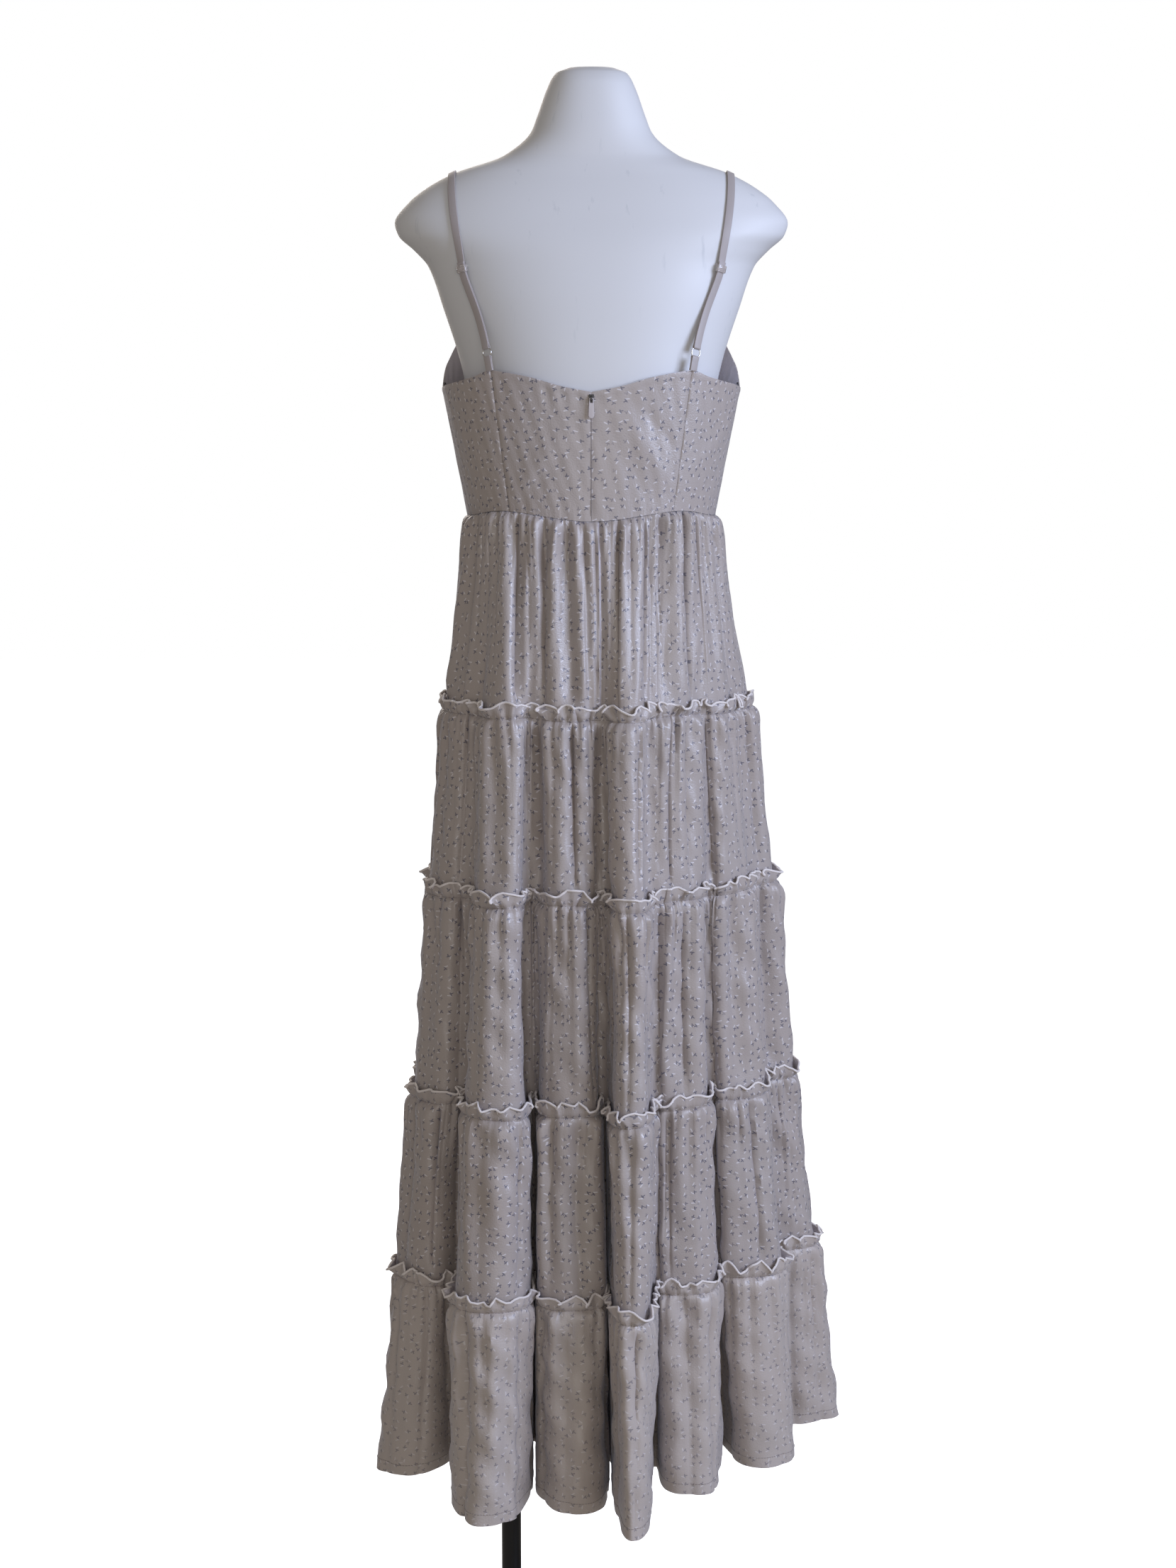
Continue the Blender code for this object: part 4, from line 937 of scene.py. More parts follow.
@dataclass
class Tier:
    """One gathered tier with its ruffled heading.

    Args:
        number: 1 at the waist to 5 at the hem.
        steps: Columns to half a fold.
        rows: Rows below the stitches.
        heading: The height of the ruffle over the stitches, 0 at the waist.
        heading_rows: Rows of the heading, with that of the stitches.
        ruffle: How far the lip waves out.
        ruffle_pitch: The mean width of the lip's waves.
        ruffle_slip: How far they lean along the seam.
        ruffle_lift: How far the lip rises and falls by chance.
        ruffle_droop: How far it droops where it waves out.
        ruffle_stand: How far the heading stands out by itself.
        pinch_pitch: The mean width of the pinches at the stitches.
        broad: The height of the broad waves between the folds' crests.
        puff: How far the cloth puffs out below the stitches.
        cloth: The cloth's thickness.
        seat: How far the cloth stands off the plan at its stitches.
        low_seat: The same at its lower seam.
        fold_length: How far down the middle gathers reach.
        crush: The height of the slanting creases.
        sway: How far the folds sway to one side between two seams.
        seam_sag: How far a seam strays from level.
        hem_sag: How far the hem does.
        hem_turn: The height of the turned hem.
        print_step: How far along the cloth each tier's print is from the last one's.
    """

    number: int
    steps: int
    rows: int = 28
    heading: float = 13 * MM
    heading_rows: int = 8
    ruffle: float = 8.5 * MM
    ruffle_pitch: float = 19 * MM
    ruffle_slip: float = 7.5 * MM
    ruffle_lift: float = 3.4 * MM
    ruffle_droop: float = 6.5 * MM
    ruffle_stand: float = 2.2 * MM
    pinch_pitch: float = 9.0 * MM
    broad: float = 2.2 * MM
    puff: float = 3.4 * MM
    cloth: float = 0.7 * MM
    seat: float = 1.2 * MM
    low_seat: float = 0.2 * MM
    fold_length: float = 150 * MM
    crush: float = 2.1 * MM
    sway: float = 3.0 * MM
    seam_sag: float = 2.5 * MM
    hem_sag: float = 5.0 * MM
    hem_turn: float = 10.5 * MM
    print_step: float = 0.37

    def __post_init__(self) -> None:
        """Works out the tier's outlines."""
        self.seed = self.number * 7
        self.plan = FoldPlan()
        self.plans = [self.plan.outline(level, self.steps) for level in LEVELS]
        self.top, self.low = LEVELS[self.number - 1].height, LEVELS[self.number].height
        seam = girth_steps(self.plans[self.number - 1])
        hem = girth_steps(self.plans[self.number])
        self.seam_girth, self.flat_width = seam[-1], hem[-1]
        self.share = seam[:-1] / seam[-1]
        self.flat_across = hem[:-1]

    @property
    def is_hem(self) -> bool:
        """Returns whether this is the lowest tier."""
        return self.number == len(LEVELS) - 1

    def _sag(self, level: int, share: Array) -> Array:
        """Returns how far a seam strays from level, the same for the tiers on both sides of it."""
        if level == 0:
            return waist_rise(self.plan.waist_degrees(self.steps))
        reach = self.hem_sag if level == len(LEVELS) - 1 else self.seam_sag
        return reach * wobble(share, 40 + level, 3, 14)

    def surface(self) -> ClothGrid:
        """Builds the tier's whole closed surface as one grid, with its rows closest under the stitches."""
        total = self.top - self.low
        over = np.linspace(self.heading, 0, self.heading_rows)[:-1] if self.number > 1 else np.zeros(0)
        under = total * np.linspace(0, 1, self.rows) ** 1.45
        heights = np.concatenate((over, -under))
        above, below = np.maximum(heights, 0), np.maximum(-heights, 0)
        off = self._stand_off(above, below, total)
        share = self.share
        slip, lift = self._ruffle_play(above)
        slip = slip + self._swing(below, total)
        points, insides = [], []
        # The room between folds is worked out at seven heights and read between them
        marks = np.linspace(heights[0], heights[-1], 7)
        rooms = np.array([self.plan.room(self.plan.at(self.top + mark, self.plans)) for mark in marks])
        top_sag = self._sag(self.number - 1, share)
        low_sag = self._sag(self.number, self.flat_across / self.flat_width)
        for row, height in enumerate(heights):
            plan = self.plan.at(self.top + height, self.plans)
            place = (marks[0] - height) / (marks[0] - marks[-1]) * (len(marks) - 1)
            first = min(int(place), len(marks) - 2)
            room = rooms[first] * (1 - place + first) + rooms[first + 1] * (place - first)
            out = outward(plan)
            along = np.stack((-out[:, 1], out[:, 0]), axis=-1)
            stand = np.minimum(off[row], room)
            outer = plan + out * stand[:, None] + along * slip[row][:, None]
            inner = outer - out * self._thickness(height, total)
            drop = min(1.0, below[row] / total)
            z = self.top + height + lift[row] + top_sag * (1 - drop) + low_sag * drop
            points.append(np.column_stack((outer, z)))
            insides.append(np.column_stack((inner, z)))
        gathered = np.exp(-below / (16 * MM)) * np.exp(-above / (9 * MM))
        gathered = np.repeat(gathered[:, None], len(share), axis=1)
        # Each tier is cut from another stretch of the printed cloth
        across = np.repeat(self.flat_across[None], len(heights), axis=0)
        down = np.repeat((heights + self.print_step * self.number)[:, None], len(share), axis=1)
        return ClothGrid(np.array(points), np.array(insides), np.stack((across, down), axis=-1), gathered)

    def _thickness(self, height: float, total: float) -> float:
        """Returns the cloth's thickness at a height, doubled in the turned hem."""
        return self.cloth * (2 if self.is_hem and total + height < self.hem_turn else 1)

    def _gathers(self, below: Array) -> tuple[Array, Array, Array]:
        """Returns the heights of the pinches, the fine gathers and the middle ones, by row and column."""
        upper = self.number < 3
        pinch = Pleats(self.seed + 1, self.pinch_pitch, height=5.5 * MM, length=22 * MM, lean=0.4, sunk=0.5)
        fine = Pleats(self.seed + 10, 17 * MM, height=9.0 * MM, length=75 * MM, crisp=0.65, lean=0.8,
                      sunk=0.6)
        middle = Pleats(self.seed + 2, (25 if upper else 34) * MM, height=(13 if upper else 12) * MM,
                        length=self.fold_length, crisp=0.6, lean=0.9, sunk=0.6)
        lingers = (0.0, 0.0, 0.4)
        return tuple(pleats.at(self.share, self.seam_girth, below, linger)
                     for pleats, linger in zip((pinch, fine, middle), lingers))

    def _stand_off(self, above: Array, below: Array, total: float) -> Array:
        """Returns how far the outer face stands off the plan, by row and column."""
        pinch, fine, middle = self._gathers(below)
        broad = self.broad * wobble(self.share, self.seed + 3, 22, 44)[None] + self._crush(below, total)
        # The gathers grow from the stitches down, and are tucked flat again just over the next seam
        rise = (1 - np.exp(-below / (7 * MM)))[:, None]
        tuck = ease(total - below, 2 * MM, 34 * MM)[:, None]
        if self.is_hem:
            tuck = 0.7 + 0.3 * tuck
        puff = self.puff * (1 - np.exp(-below / (3 * MM)))[:, None] * np.exp(-below / (45 * MM))[:, None]
        seat = 0.0 if self.number == 1 else self.seat
        seated = (seat - self.low_seat) * np.exp(-below / (60 * MM))[:, None] + self.low_seat
        off = seated + puff + (pinch * (0.55 + 0.45 * rise) + (fine + middle + broad) * rise) * tuck
        if self.number == 1:
            return off
        # Over the stitches the pinches fade as the ruffle grows
        grow = (above / self.heading)[:, None]
        standing = seat + self.ruffle_stand * np.minimum(1.0, 3 * grow)
        standing = standing + self.ruffle * self._ruffle_wave() * grow**1.1
        return np.where(above[:, None] > 0, standing + pinch * 0.9 * (1 - 0.5 * grow), off)

    def _ruffle_wave(self) -> Array:
        """Returns the heading's ruffle, from 0 in to 1 out, as one row by column."""
        waves = Pleats(self.seed + 4, self.ruffle_pitch, height=1.0, length=1.0, crisp=1.1)
        return waves.at(self.share, self.seam_girth, np.zeros(1))

    def _ruffle_play(self, above: Array) -> tuple[Array, Array]:
        """Returns how far the heading's cloth slips along the seam and lifts, by row and column."""
        share = self.share
        if self.number == 1:
            nothing = np.zeros((len(above), len(share)))
            return nothing, nothing
        grow = (above / self.heading)[:, None]
        wave = self._ruffle_wave()
        turn = np.roll(wave, -2, axis=1) - np.roll(wave, 2, axis=1)
        turn = turn / max(1e-6, float(np.abs(turn).max()))
        count = round(self.seam_girth / self.ruffle_pitch)
        lean = 0.75 * turn + 0.6 * wobble(share, self.seed + 5, 8, count)[None]
        lift = self.ruffle_lift * grow * wobble(share, self.seed + 6, count // 3, count)[None]
        return self.ruffle_slip * grow**1.3 * lean, lift - self.ruffle_droop * (wave - 0.3) * grow**2

    def _crush(self, below: Array, total: float) -> Array:
        """Returns the slanting creases left by wear, by row and column."""
        chance = np.random.default_rng(self.seed + 8)
        down = (below / total)[:, None]
        creases = np.zeros((len(below), len(self.share)))
        for _ in range(9):
            waves, slant = chance.integers(9, 34), chance.uniform(-2.2, 2.2)
            turn = 2 * math.pi * (waves * self.share[None] + slant * down + chance.uniform())
            creases += chance.uniform(0.4, 1.0) * (0.64 - np.abs(np.sin(turn)))
        return self.crush * (0.6 + 0.2 * self.number) * creases * 0.5

    def _swing(self, below: Array, total: float) -> Array:
        """Returns how far the folds swing to one side below the stitches, by row and column."""
        down = np.clip(below / total, 0, 1)
        turn = np.pi * (0.62 if self.is_hem else 1.0) * down
        size = self.sway * (0.4 + 0.3 * self.number)
        return size * np.sin(turn)[:, None] * wobble(self.share, self.seed + 9, 4, 18)[None]


class PanelCut(NamedTuple):
    """A panel of a tier: its node's name and its first and last seam, in half folds."""

    node: str
    first: float
    last: float


@dataclass
class Skirt:
    """The five tiers with their overlocked lips, gathering stitches and hem.

    Args:
        wardrobe: The finishes.
        steps: Columns to half a fold of each tier.
        left_seam: The wearer's left side seam, in half folds from the first crest.
        right_seam: The right side seam.
        centre_back: The seam below the zip, in the first tier.
        hem_seam: The seam at the back of the last tier.
        heading: The height of a ruffled heading.
        seam_dip: How far a panel's side edges turn in.
        zip_seam_dip: The same in the first tier.
        lip_radius: The radius of a lip's overlocked edge.
        stitch_radius: The radius of a stitch.
        stitch_lift: How far a stitch lies over the cloth's face.
        hem_height: The height of the hem's stitches over its edge.
    """

    wardrobe: Wardrobe
    steps: tuple[int, ...] = (24, 24, 32, 38, 44)
    left_seam: float = 27.0
    right_seam: float = 13.0
    centre_back: float = 5.0
    hem_seam: float = 8.4
    heading: float = 13 * MM
    seam_dip: float = 0.9 * MM
    zip_seam_dip: float = 1.9 * MM
    lip_radius: float = 1.25 * MM
    stitch_radius: float = 0.28 * MM
    stitch_lift: float = 0.1 * MM
    hem_height: float = 10 * MM

    def __post_init__(self) -> None:
        """Makes the trim's nodes."""
        self.trims = TrimNodes()

    def cuts(self, number: int) -> tuple[PanelCut, ...]:
        """Returns the panels that a tier is sewn from."""
        name = f"tier_{number}"
        front = PanelCut(f"{name}_front", self.right_seam, self.left_seam)
        if number in (1, len(LEVELS) - 1):
            split = self.centre_back if number == 1 else self.hem_seam
            left = PanelCut(f"{name}_back_left", self.left_seam, split)
            return (front, left, PanelCut(f"{name}_back_right", split, self.right_seam))
        return (front, PanelCut(f"{name}_back", self.left_seam, self.right_seam))

    def build(self, waist_pieces: list[str]) -> None:
        """Builds every tier.

        Args:
            waist_pieces: The bodice pieces that the first tier hangs from; not used.
        """
        above = waist_pieces
        for number, steps in enumerate(self.steps, start=1):
            tier = Tier(number, steps, heading=0.0 if number == 1 else self.heading)
            grid = tier.surface()
            trims = self._trims(tier, grid)
            above = self._panels(tier, grid)

    def _panels(self, tier: Tier, grid: ClothGrid) -> list[str]:
        """Cuts a tier into its panels and builds each."""
        count = grid.outer.shape[1]
        finish = self.wardrobe.voile if tier.is_hem else self.wardrobe.crepe
        names = []
        for cut in self.cuts(tier.number):
            first, last = round(cut.first * tier.steps), round(cut.last * tier.steps)
            span = (last - first) % count
            panel = grid.columns((first + np.arange(span + 1)) % count)
            wraps = np.where(first + np.arange(span + 1) >= count, tier.flat_width, 0.0)
            panel.flat[..., 0] += wraps[None]
            # The first tier's seams lie deeper, as one of them runs on down from the zip
            dip = self.zip_seam_dip if tier.number == 1 else self.seam_dip
            panel.close_seams(SEAM_GAP, dip, SEAM_COLUMNS)
            piece = panel.build(f"cloth_{cut.node}", finish, self.wardrobe.reverse)
            settle(piece, (cut.node,))
            names.append(piece.name)
        return names

    def _trims(self, tier: Tier, grid: ClothGrid) -> list[Object]:
        """Makes a tier's lip, gathering stitches and hem stitches."""
        made = []
        if tier.number > 1:
            edge = (grid.outer[0] + grid.inner[0]) / 2
            lip = self.trims.tube(f"lip_tier_{tier.number}", edge, True, self.lip_radius, self.wardrobe.lip)
            made.append(settle(lip))
            name = f"stitches_tier_{tier.number}"
            made.append(self._stitches(name, grid, tier.heading_rows - 1, pitch=3.4 * MM, length=2.2 * MM))
        if tier.is_hem:
            heights = grid.outer[:, :, 2].mean(axis=1)
            row = int(np.argmin(np.abs(heights - tier.low - self.hem_height)))
            made.append(self._stitches("stitches_hem", grid, row, pitch=3.0 * MM, length=2.1 * MM))
        return made

    def _stitches(self, name: str, grid: ClothGrid, row: int, pitch: float, length: float) -> Object:
        """Sews stitches of that length along one row of a tier, on its outer face."""
        line = grid.outer[row] + unit(grid.outer[row] - grid.inner[row]) * self.stitch_lift
        made = self.trims.stitches(name, line, True, pitch, length, self.stitch_radius, self.wardrobe.thread)
        return settle(made)


# Bodice


class EdgePoint(NamedTuple):
    """The height of the bodice's top edge at an angle of the wearer's left half."""

    degrees: float
    height: float


class BodicePanel(NamedTuple):
    """A panel of the bodice between two angles."""

    node: str
    first_deg: float
    last_deg: float
    columns: int


class Cup(NamedTuple):
    """A raised cup at the bodice's front: its middle, its half width and height, and its rise."""

    degrees: float
    height: float
    half_deg: float
    half_height: float
    rise: float


class StrainFold(NamedTuple):
    """A soft ridge or trough in the bodice, from one place to another."""

    start_deg: float
    start_height: float
    end_deg: float
    end_height: float
    half_width: float
    rise: float


@dataclass
class Bodice:
    """The fitted bodice in seven panels, with princess seams and a turned top edge.

    Args:
        wardrobe: The finishes.
        rows: Rows of a panel's grid.
        cloth: The cloth's thickness.
        bottom: The mean height of the lower edge.
        bust_level: The height of the widest section.
        mean_radius: The radius of a circle about as long as the girth.
        cup: The left cup, which the right one mirrors.
        turned_edge: How far the turned top edge stands out.
        seam_dip: How far a panel's side edges turn in.
        waist_hold: How tightly the cloth is gathered at the waist seam, of 1.
        print_radius: The radius that the print is laid out on.
        print_start: How far along the cloth the print is from the skirt's.
        top_edge: The top edge's heights.
        panels: The seven panels, round from the wearer's left side.
        strains: The folds that strain draws in the cloth.
    """

    wardrobe: Wardrobe
    rows: int = 64
    cloth: float = 0.8 * MM
    bottom: float = LEVELS[0].height + 0.3 * MM
    bust_level: float = 1.386
    mean_radius: float = 0.125
    cup: Cup = Cup(-58, 1.335, 24, 0.045, 14 * MM)
    turned_edge: float = 0.45 * MM
    seam_dip: float = 0.7 * MM
    waist_hold: float = 0.12
    print_radius: float = 0.128
    print_start: float = 2.0
    top_edge: tuple[EdgePoint, ...] = (
        EdgePoint(-90, 1.402),
        EdgePoint(-70, 1.414),
        EdgePoint(-50, 1.440),
        EdgePoint(-20, 1.396),
        EdgePoint(0, 1.370),
        EdgePoint(25, 1.3742),
        EdgePoint(42, 1.3798),
        EdgePoint(52, 1.386),
        EdgePoint(60, 1.3836),
        EdgePoint(70, 1.3786),
        EdgePoint(80, 1.3708),
        EdgePoint(90, 1.365),
    )
    panels: tuple[BodicePanel, ...] = (
        BodicePanel("bodice_back_side_left", 0, 52, 52),
        BodicePanel("bodice_back_centre_left", 52, 90, 44),
        BodicePanel("bodice_back_centre_right", 90, 128, 44),
        BodicePanel("bodice_back_side_right", 128, 180, 52),
        BodicePanel("bodice_front_side_right", 180, 230, 50),
        BodicePanel("bodice_front_centre", 230, 310, 80),
        BodicePanel("bodice_front_side_left", 310, 360, 50),
    )
    strains: tuple[StrainFold, ...] = (
        StrainFold(97, 1.352, 124, 1.268, 0.0085, 1.7 * MM),
        StrainFold(103, 1.360, 128, 1.300, 0.0060, -1.1 * MM),
        StrainFold(96, 1.322, 116, 1.252, 0.0075, -1.0 * MM),
        StrainFold(84, 1.330, 58, 1.262, 0.0090, 1.2 * MM),
        StrainFold(80, 1.300, 56, 1.250, 0.0070, -0.8 * MM),
        StrainFold(12, 1.340, 46, 1.290, 0.0080, 1.0 * MM),
        StrainFold(168, 1.345, 134, 1.285, 0.0080, 1.0 * MM),
        StrainFold(8, 1.300, 40, 1.262, 0.0070, -0.8 * MM),
        StrainFold(172, 1.305, 140, 1.258, 0.0070, -0.8 * MM),
        StrainFold(236, 1.335, 262, 1.270, 0.0090, 1.1 * MM),
        StrainFold(304, 1.335, 278, 1.270, 0.0090, 1.1 * MM),
    )

    @staticmethod
    def fold_side(degrees: Array) -> Array:
        """Returns angles as ones of the wearer's left half, from -90 at the front to 90 at the back."""
        turned = (np.asarray(degrees, float) + 180) % 360 - 180
        turned = np.where(turned > 90, 180 - turned, turned)
        return np.where(turned < -90, -180 - turned, turned)

    def top(self, degrees: Array) -> Array:
        """Returns the top edge's height at these angles."""
        knots, heights = zip(*self.top_edge)
        return smooth_value(self.fold_side(degrees), knots, heights)

    def point(self, degrees: Array, height: Array, depth: Array | float) -> Array:
        """Returns points of the bodice, depth under its outer face."""
        degrees, height = np.broadcast_arrays(np.asarray(degrees, float), np.asarray(height, float))
        share = (height - LEVELS[0].height) / (self.bust_level - LEVELS[0].height)
        oval = Oval(*(low + (high - low) * share - depth for low, high in zip(WAIST_OVAL, BUST_OVAL)))
        place = oval_point(degrees, oval, CLOTH_POWER)
        cup = self.cup
        off_cup = ((self.fold_side(degrees) - cup.degrees) / cup.half_deg) ** 2
        off_cup = off_cup + ((height - cup.height) / cup.half_height) ** 2
        rise = np.where(place[..., 1] < 0, cup.rise * np.exp(-off_cup), 0.0)
        place = place + unit(place) * rise[..., None]
        return np.concatenate((place, height[..., None]), axis=-1)

    def _strain(self, degrees: Array, height: Array) -> Array:
        """Returns how far the strain folds raise the cloth at these places."""
        per_degree = 2 * math.pi * self.mean_radius / 360
        rise = np.zeros(np.broadcast(degrees, height).shape)
        for fold in self.strains:
            start = np.array((fold.start_deg * per_degree, fold.start_height))
            along = np.array((fold.end_deg * per_degree, fold.end_height)) - start
            length = np.linalg.norm(along)
            along = along / length
            x, y = degrees * per_degree - start[0], height - start[1]
            run = x * along[0] + y * along[1]
            aside = (-x * along[1] + y * along[0]) / fold.half_width
            ends = np.sin(np.pi * np.clip(run / length, 0, 1)) ** 0.8
            rise += fold.rise * ends * np.exp(-(aside**2))
        return rise

    def _ripples(self, degrees: Array, height: Array, low: Array) -> Array:
        """Returns the cloth's faint waves, its gathers over the waist seam and its ripples by the zip."""
        soft = 0.35 * MM * np.sin(degrees * 0.9 + height * 90) * np.sin(height * 61 + degrees * 0.21)
        crowd = 0.5 * MM * np.sin(degrees * 3.1) * np.exp(-(height - low) / (12 * MM))
        near_zip = ease(degrees, 66, 76) * (1 - ease(degrees, 96, 104))
        under_edge = np.exp(-(self.top(degrees) - height) / (16 * MM))
        return soft + (crowd + 0.7 * MM * np.sin(degrees * 1.15) * near_zip * under_edge)

    def grid(self, panel: BodicePanel) -> ClothGrid:
        """Returns one panel's cloth."""
        degrees = np.linspace(panel.first_deg, panel.last_deg, panel.columns + 1)[None]
        part = (np.linspace(0, 1, self.rows) ** 0.9)[:, None]
        low = self.bottom + waist_rise(degrees)
        height = self.top(degrees) * (1 - part) + low * part
        outer = self.point(degrees, height, 0.0)
        inner = self.point(degrees, height, self.cloth)
        away = unit(outer - inner)
        rise = (self._strain(degrees, height) + self._ripples(degrees, height, low)) * ease(part, 0.0, 0.06)
        # The turned edge is a little fuller than the cloth below it, with a faint step under it
        turn = (self.top(degrees) - height) / MM
        edge = self.turned_edge * (1 - ease(turn, 5.0, 6.2)) * ease(turn, -0.1, 0.8)
        outer = outer + away * (rise + edge)[..., None]
        inner = inner + away * rise[..., None]
        across = np.repeat(degrees * math.radians(1) * self.print_radius, self.rows, axis=0)
        flat = np.stack((across + self.print_start, np.broadcast_to(height, across.shape)), axis=-1)
        gathered = np.broadcast_to(self.waist_hold * np.exp(-(height - low) / (6 * MM)), across.shape)
        made = ClothGrid(outer, inner, flat, gathered)
        made.close_seams(SEAM_GAP, self.seam_dip, SEAM_COLUMNS)
        return made

    def _loops(self) -> None:
        """Makes the small black cord loop inside the top edge at each side seam."""
        turn = np.linspace(0, math.pi, 14)
        for side, middle_deg in ((Side.LEFT, -5.5), (Side.RIGHT, 185.5)):
            degrees = middle_deg + 2.4 * np.cos(turn)
            height = self.top(degrees) - 2.5 * MM + 3.6 * MM * np.sin(turn)
            line = self.point(degrees, height, self.cloth + 1.2 * MM)
            loop = TrimNodes().tube(f"loop_{side.value}", line, False, 0.6 * MM, self.wardrobe.thread_black)
            settle(loop)

    def build(self) -> list[str]:
        """Builds every panel and returns their names."""
        names = []
        self._loops()
        for panel in self.panels:
            grid = self.grid(panel)
            piece = grid.build(f"cloth_{panel.node}", self.wardrobe.crepe, self.wardrobe.reverse)
            settle(piece, (panel.node,))
            names.append(piece.name)
        return names


# Dress form and stand


class FormRow(NamedTuple):
    """A section of the dress form."""

    height: float
    half_width: float
    front: float
    back: float


def loft(rings: Array) -> tuple[Array, list]:
    """Joins closed rings, top to bottom, and closes both ends on a middle point.

    Args:
        rings: Points by ring and column.

    Returns:
        Points and faces.
    """
    count, columns = rings.shape[:2]
    index = np.arange(count * columns).reshape(count, columns)
    after = np.roll(index, -1, axis=1)
    quads = np.stack([part.ravel() for part in (index[:-1], index[1:], after[1:], after[:-1])], axis=-1)
    ends = np.array((rings[0].mean(axis=0), rings[-1].mean(axis=0)))
    points = np.concatenate((rings.reshape(-1, 3), ends))
    crown, foot = count * columns, count * columns + 1
    faces = quads.tolist()
    faces += [(crown, int(first), int(second)) for first, second in zip(index[0], after[0])]
    faces += [(foot, int(second), int(first)) for first, second in zip(index[-1], after[-1])]
    return points, faces


@dataclass
class DressForm:
    """The smooth limbless form.

    Args:
        wardrobe: The finishes.
        columns: Points round a section.
        power: How square a section is, 2 for an ellipse.
        steps: Rings from one row to the next.
        rows: The sections, from the underside up to the neck's cap.
    """

    wardrobe: Wardrobe
    columns: int = 144
    power: float = 2.3
    steps: int = 6
    rows: tuple[FormRow, ...] = (
        FormRow(0.930, 0.1180, 0.076, 0.080),
        FormRow(0.938, 0.1290, 0.086, 0.090),
        FormRow(0.960, 0.1340, 0.091, 0.096),
        FormRow(1.040, 0.1250, 0.088, 0.089),
        FormRow(1.130, 0.1080, 0.083, 0.078),
        FormRow(1.241, 0.1120, 0.088, 0.086),
        FormRow(1.330, 0.1200, 0.100, 0.090),
        FormRow(1.393, 0.1321, 0.098, 0.093),
        FormRow(1.450, 0.1500, 0.090, 0.092),
        FormRow(1.491, 0.1647, 0.080, 0.087),
        FormRow(1.507, 0.1789, 0.076, 0.084),
        FormRow(1.522, 0.1949, 0.070, 0.079),
        FormRow(1.534, 0.1983, 0.064, 0.074),
        FormRow(1.554, 0.1842, 0.055, 0.066),
        FormRow(1.569, 0.1650, 0.048, 0.059),
        FormRow(1.583, 0.1383, 0.043, 0.052),
        FormRow(1.600, 0.0888, 0.040, 0.046),
        FormRow(1.623, 0.0611, 0.043, 0.044),
        FormRow(1.638, 0.0548, 0.043, 0.042),
        FormRow(1.669, 0.0432, 0.040, 0.036),
        FormRow(1.681, 0.0360, 0.034, 0.028),
        FormRow(1.686, 0.0240, 0.023, 0.018),
    )

    def oval(self, height: float) -> Oval:
        """Returns the section at a height."""
        heights, *columns = zip(*self.rows)
        return Oval(*(float(smooth_value(height, heights, values)) for values in columns))

    def reach(self, x: float, height: float, back: bool) -> float:
        """Returns y of the skin at a place on the back or the front."""
        oval = self.oval(height)
        inside = max(0.0, 1 - (abs(x) / oval.half_width) ** self.power)
        return (oval.back if back else -oval.front) * inside ** (1 / self.power)

    def normal(self, point: Array) -> Array:
        """Returns the skin's outward direction near a point."""
        def field(x: float, y: float, z: float) -> float:
            """Returns 1 on the skin and more outside it."""
            oval = self.oval(z)
            deep = oval.front if y < 0 else oval.back
            return (abs(x) / oval.half_width) ** self.power + (abs(y) / deep) ** self.power

        step = 0.5 * MM
        shifts = np.eye(3) * step
        return unit(np.array([field(*(point + shift)) - field(*(point - shift)) for shift in shifts]))

    def build(self) -> None:
        """Builds the form."""
        degrees = np.arange(self.columns) * 360 / self.columns
        knots = [row.height for row in self.rows]
        spans = [np.linspace(low, high, self.steps + 1)[:-1] for low, high in zip(knots, knots[1:])]
        heights = np.concatenate(spans + [knots[-1:]])
        rings = []
        for height in heights[::-1]:
            plan = oval_point(degrees, self.oval(height), self.power)
            rings.append(np.column_stack((plan, np.full(self.columns, height))))
        # Each flat end gets two smaller rings, so that no triangle on it is long
        caps = [rings[0] * (share, share, 1) for share in (0.5, 0.93)]
        soles = [rings[-1] * (share, share, 1) for share in (0.96, 0.5)]
        points, faces = loft(np.array(caps + rings + soles))
        piece = add_mesh("form_skin", points, faces, self.wardrobe.shell)
        piece.data.set_sharp_from_angle(angle=math.radians(50))
        settle(piece, ("dress_form",))


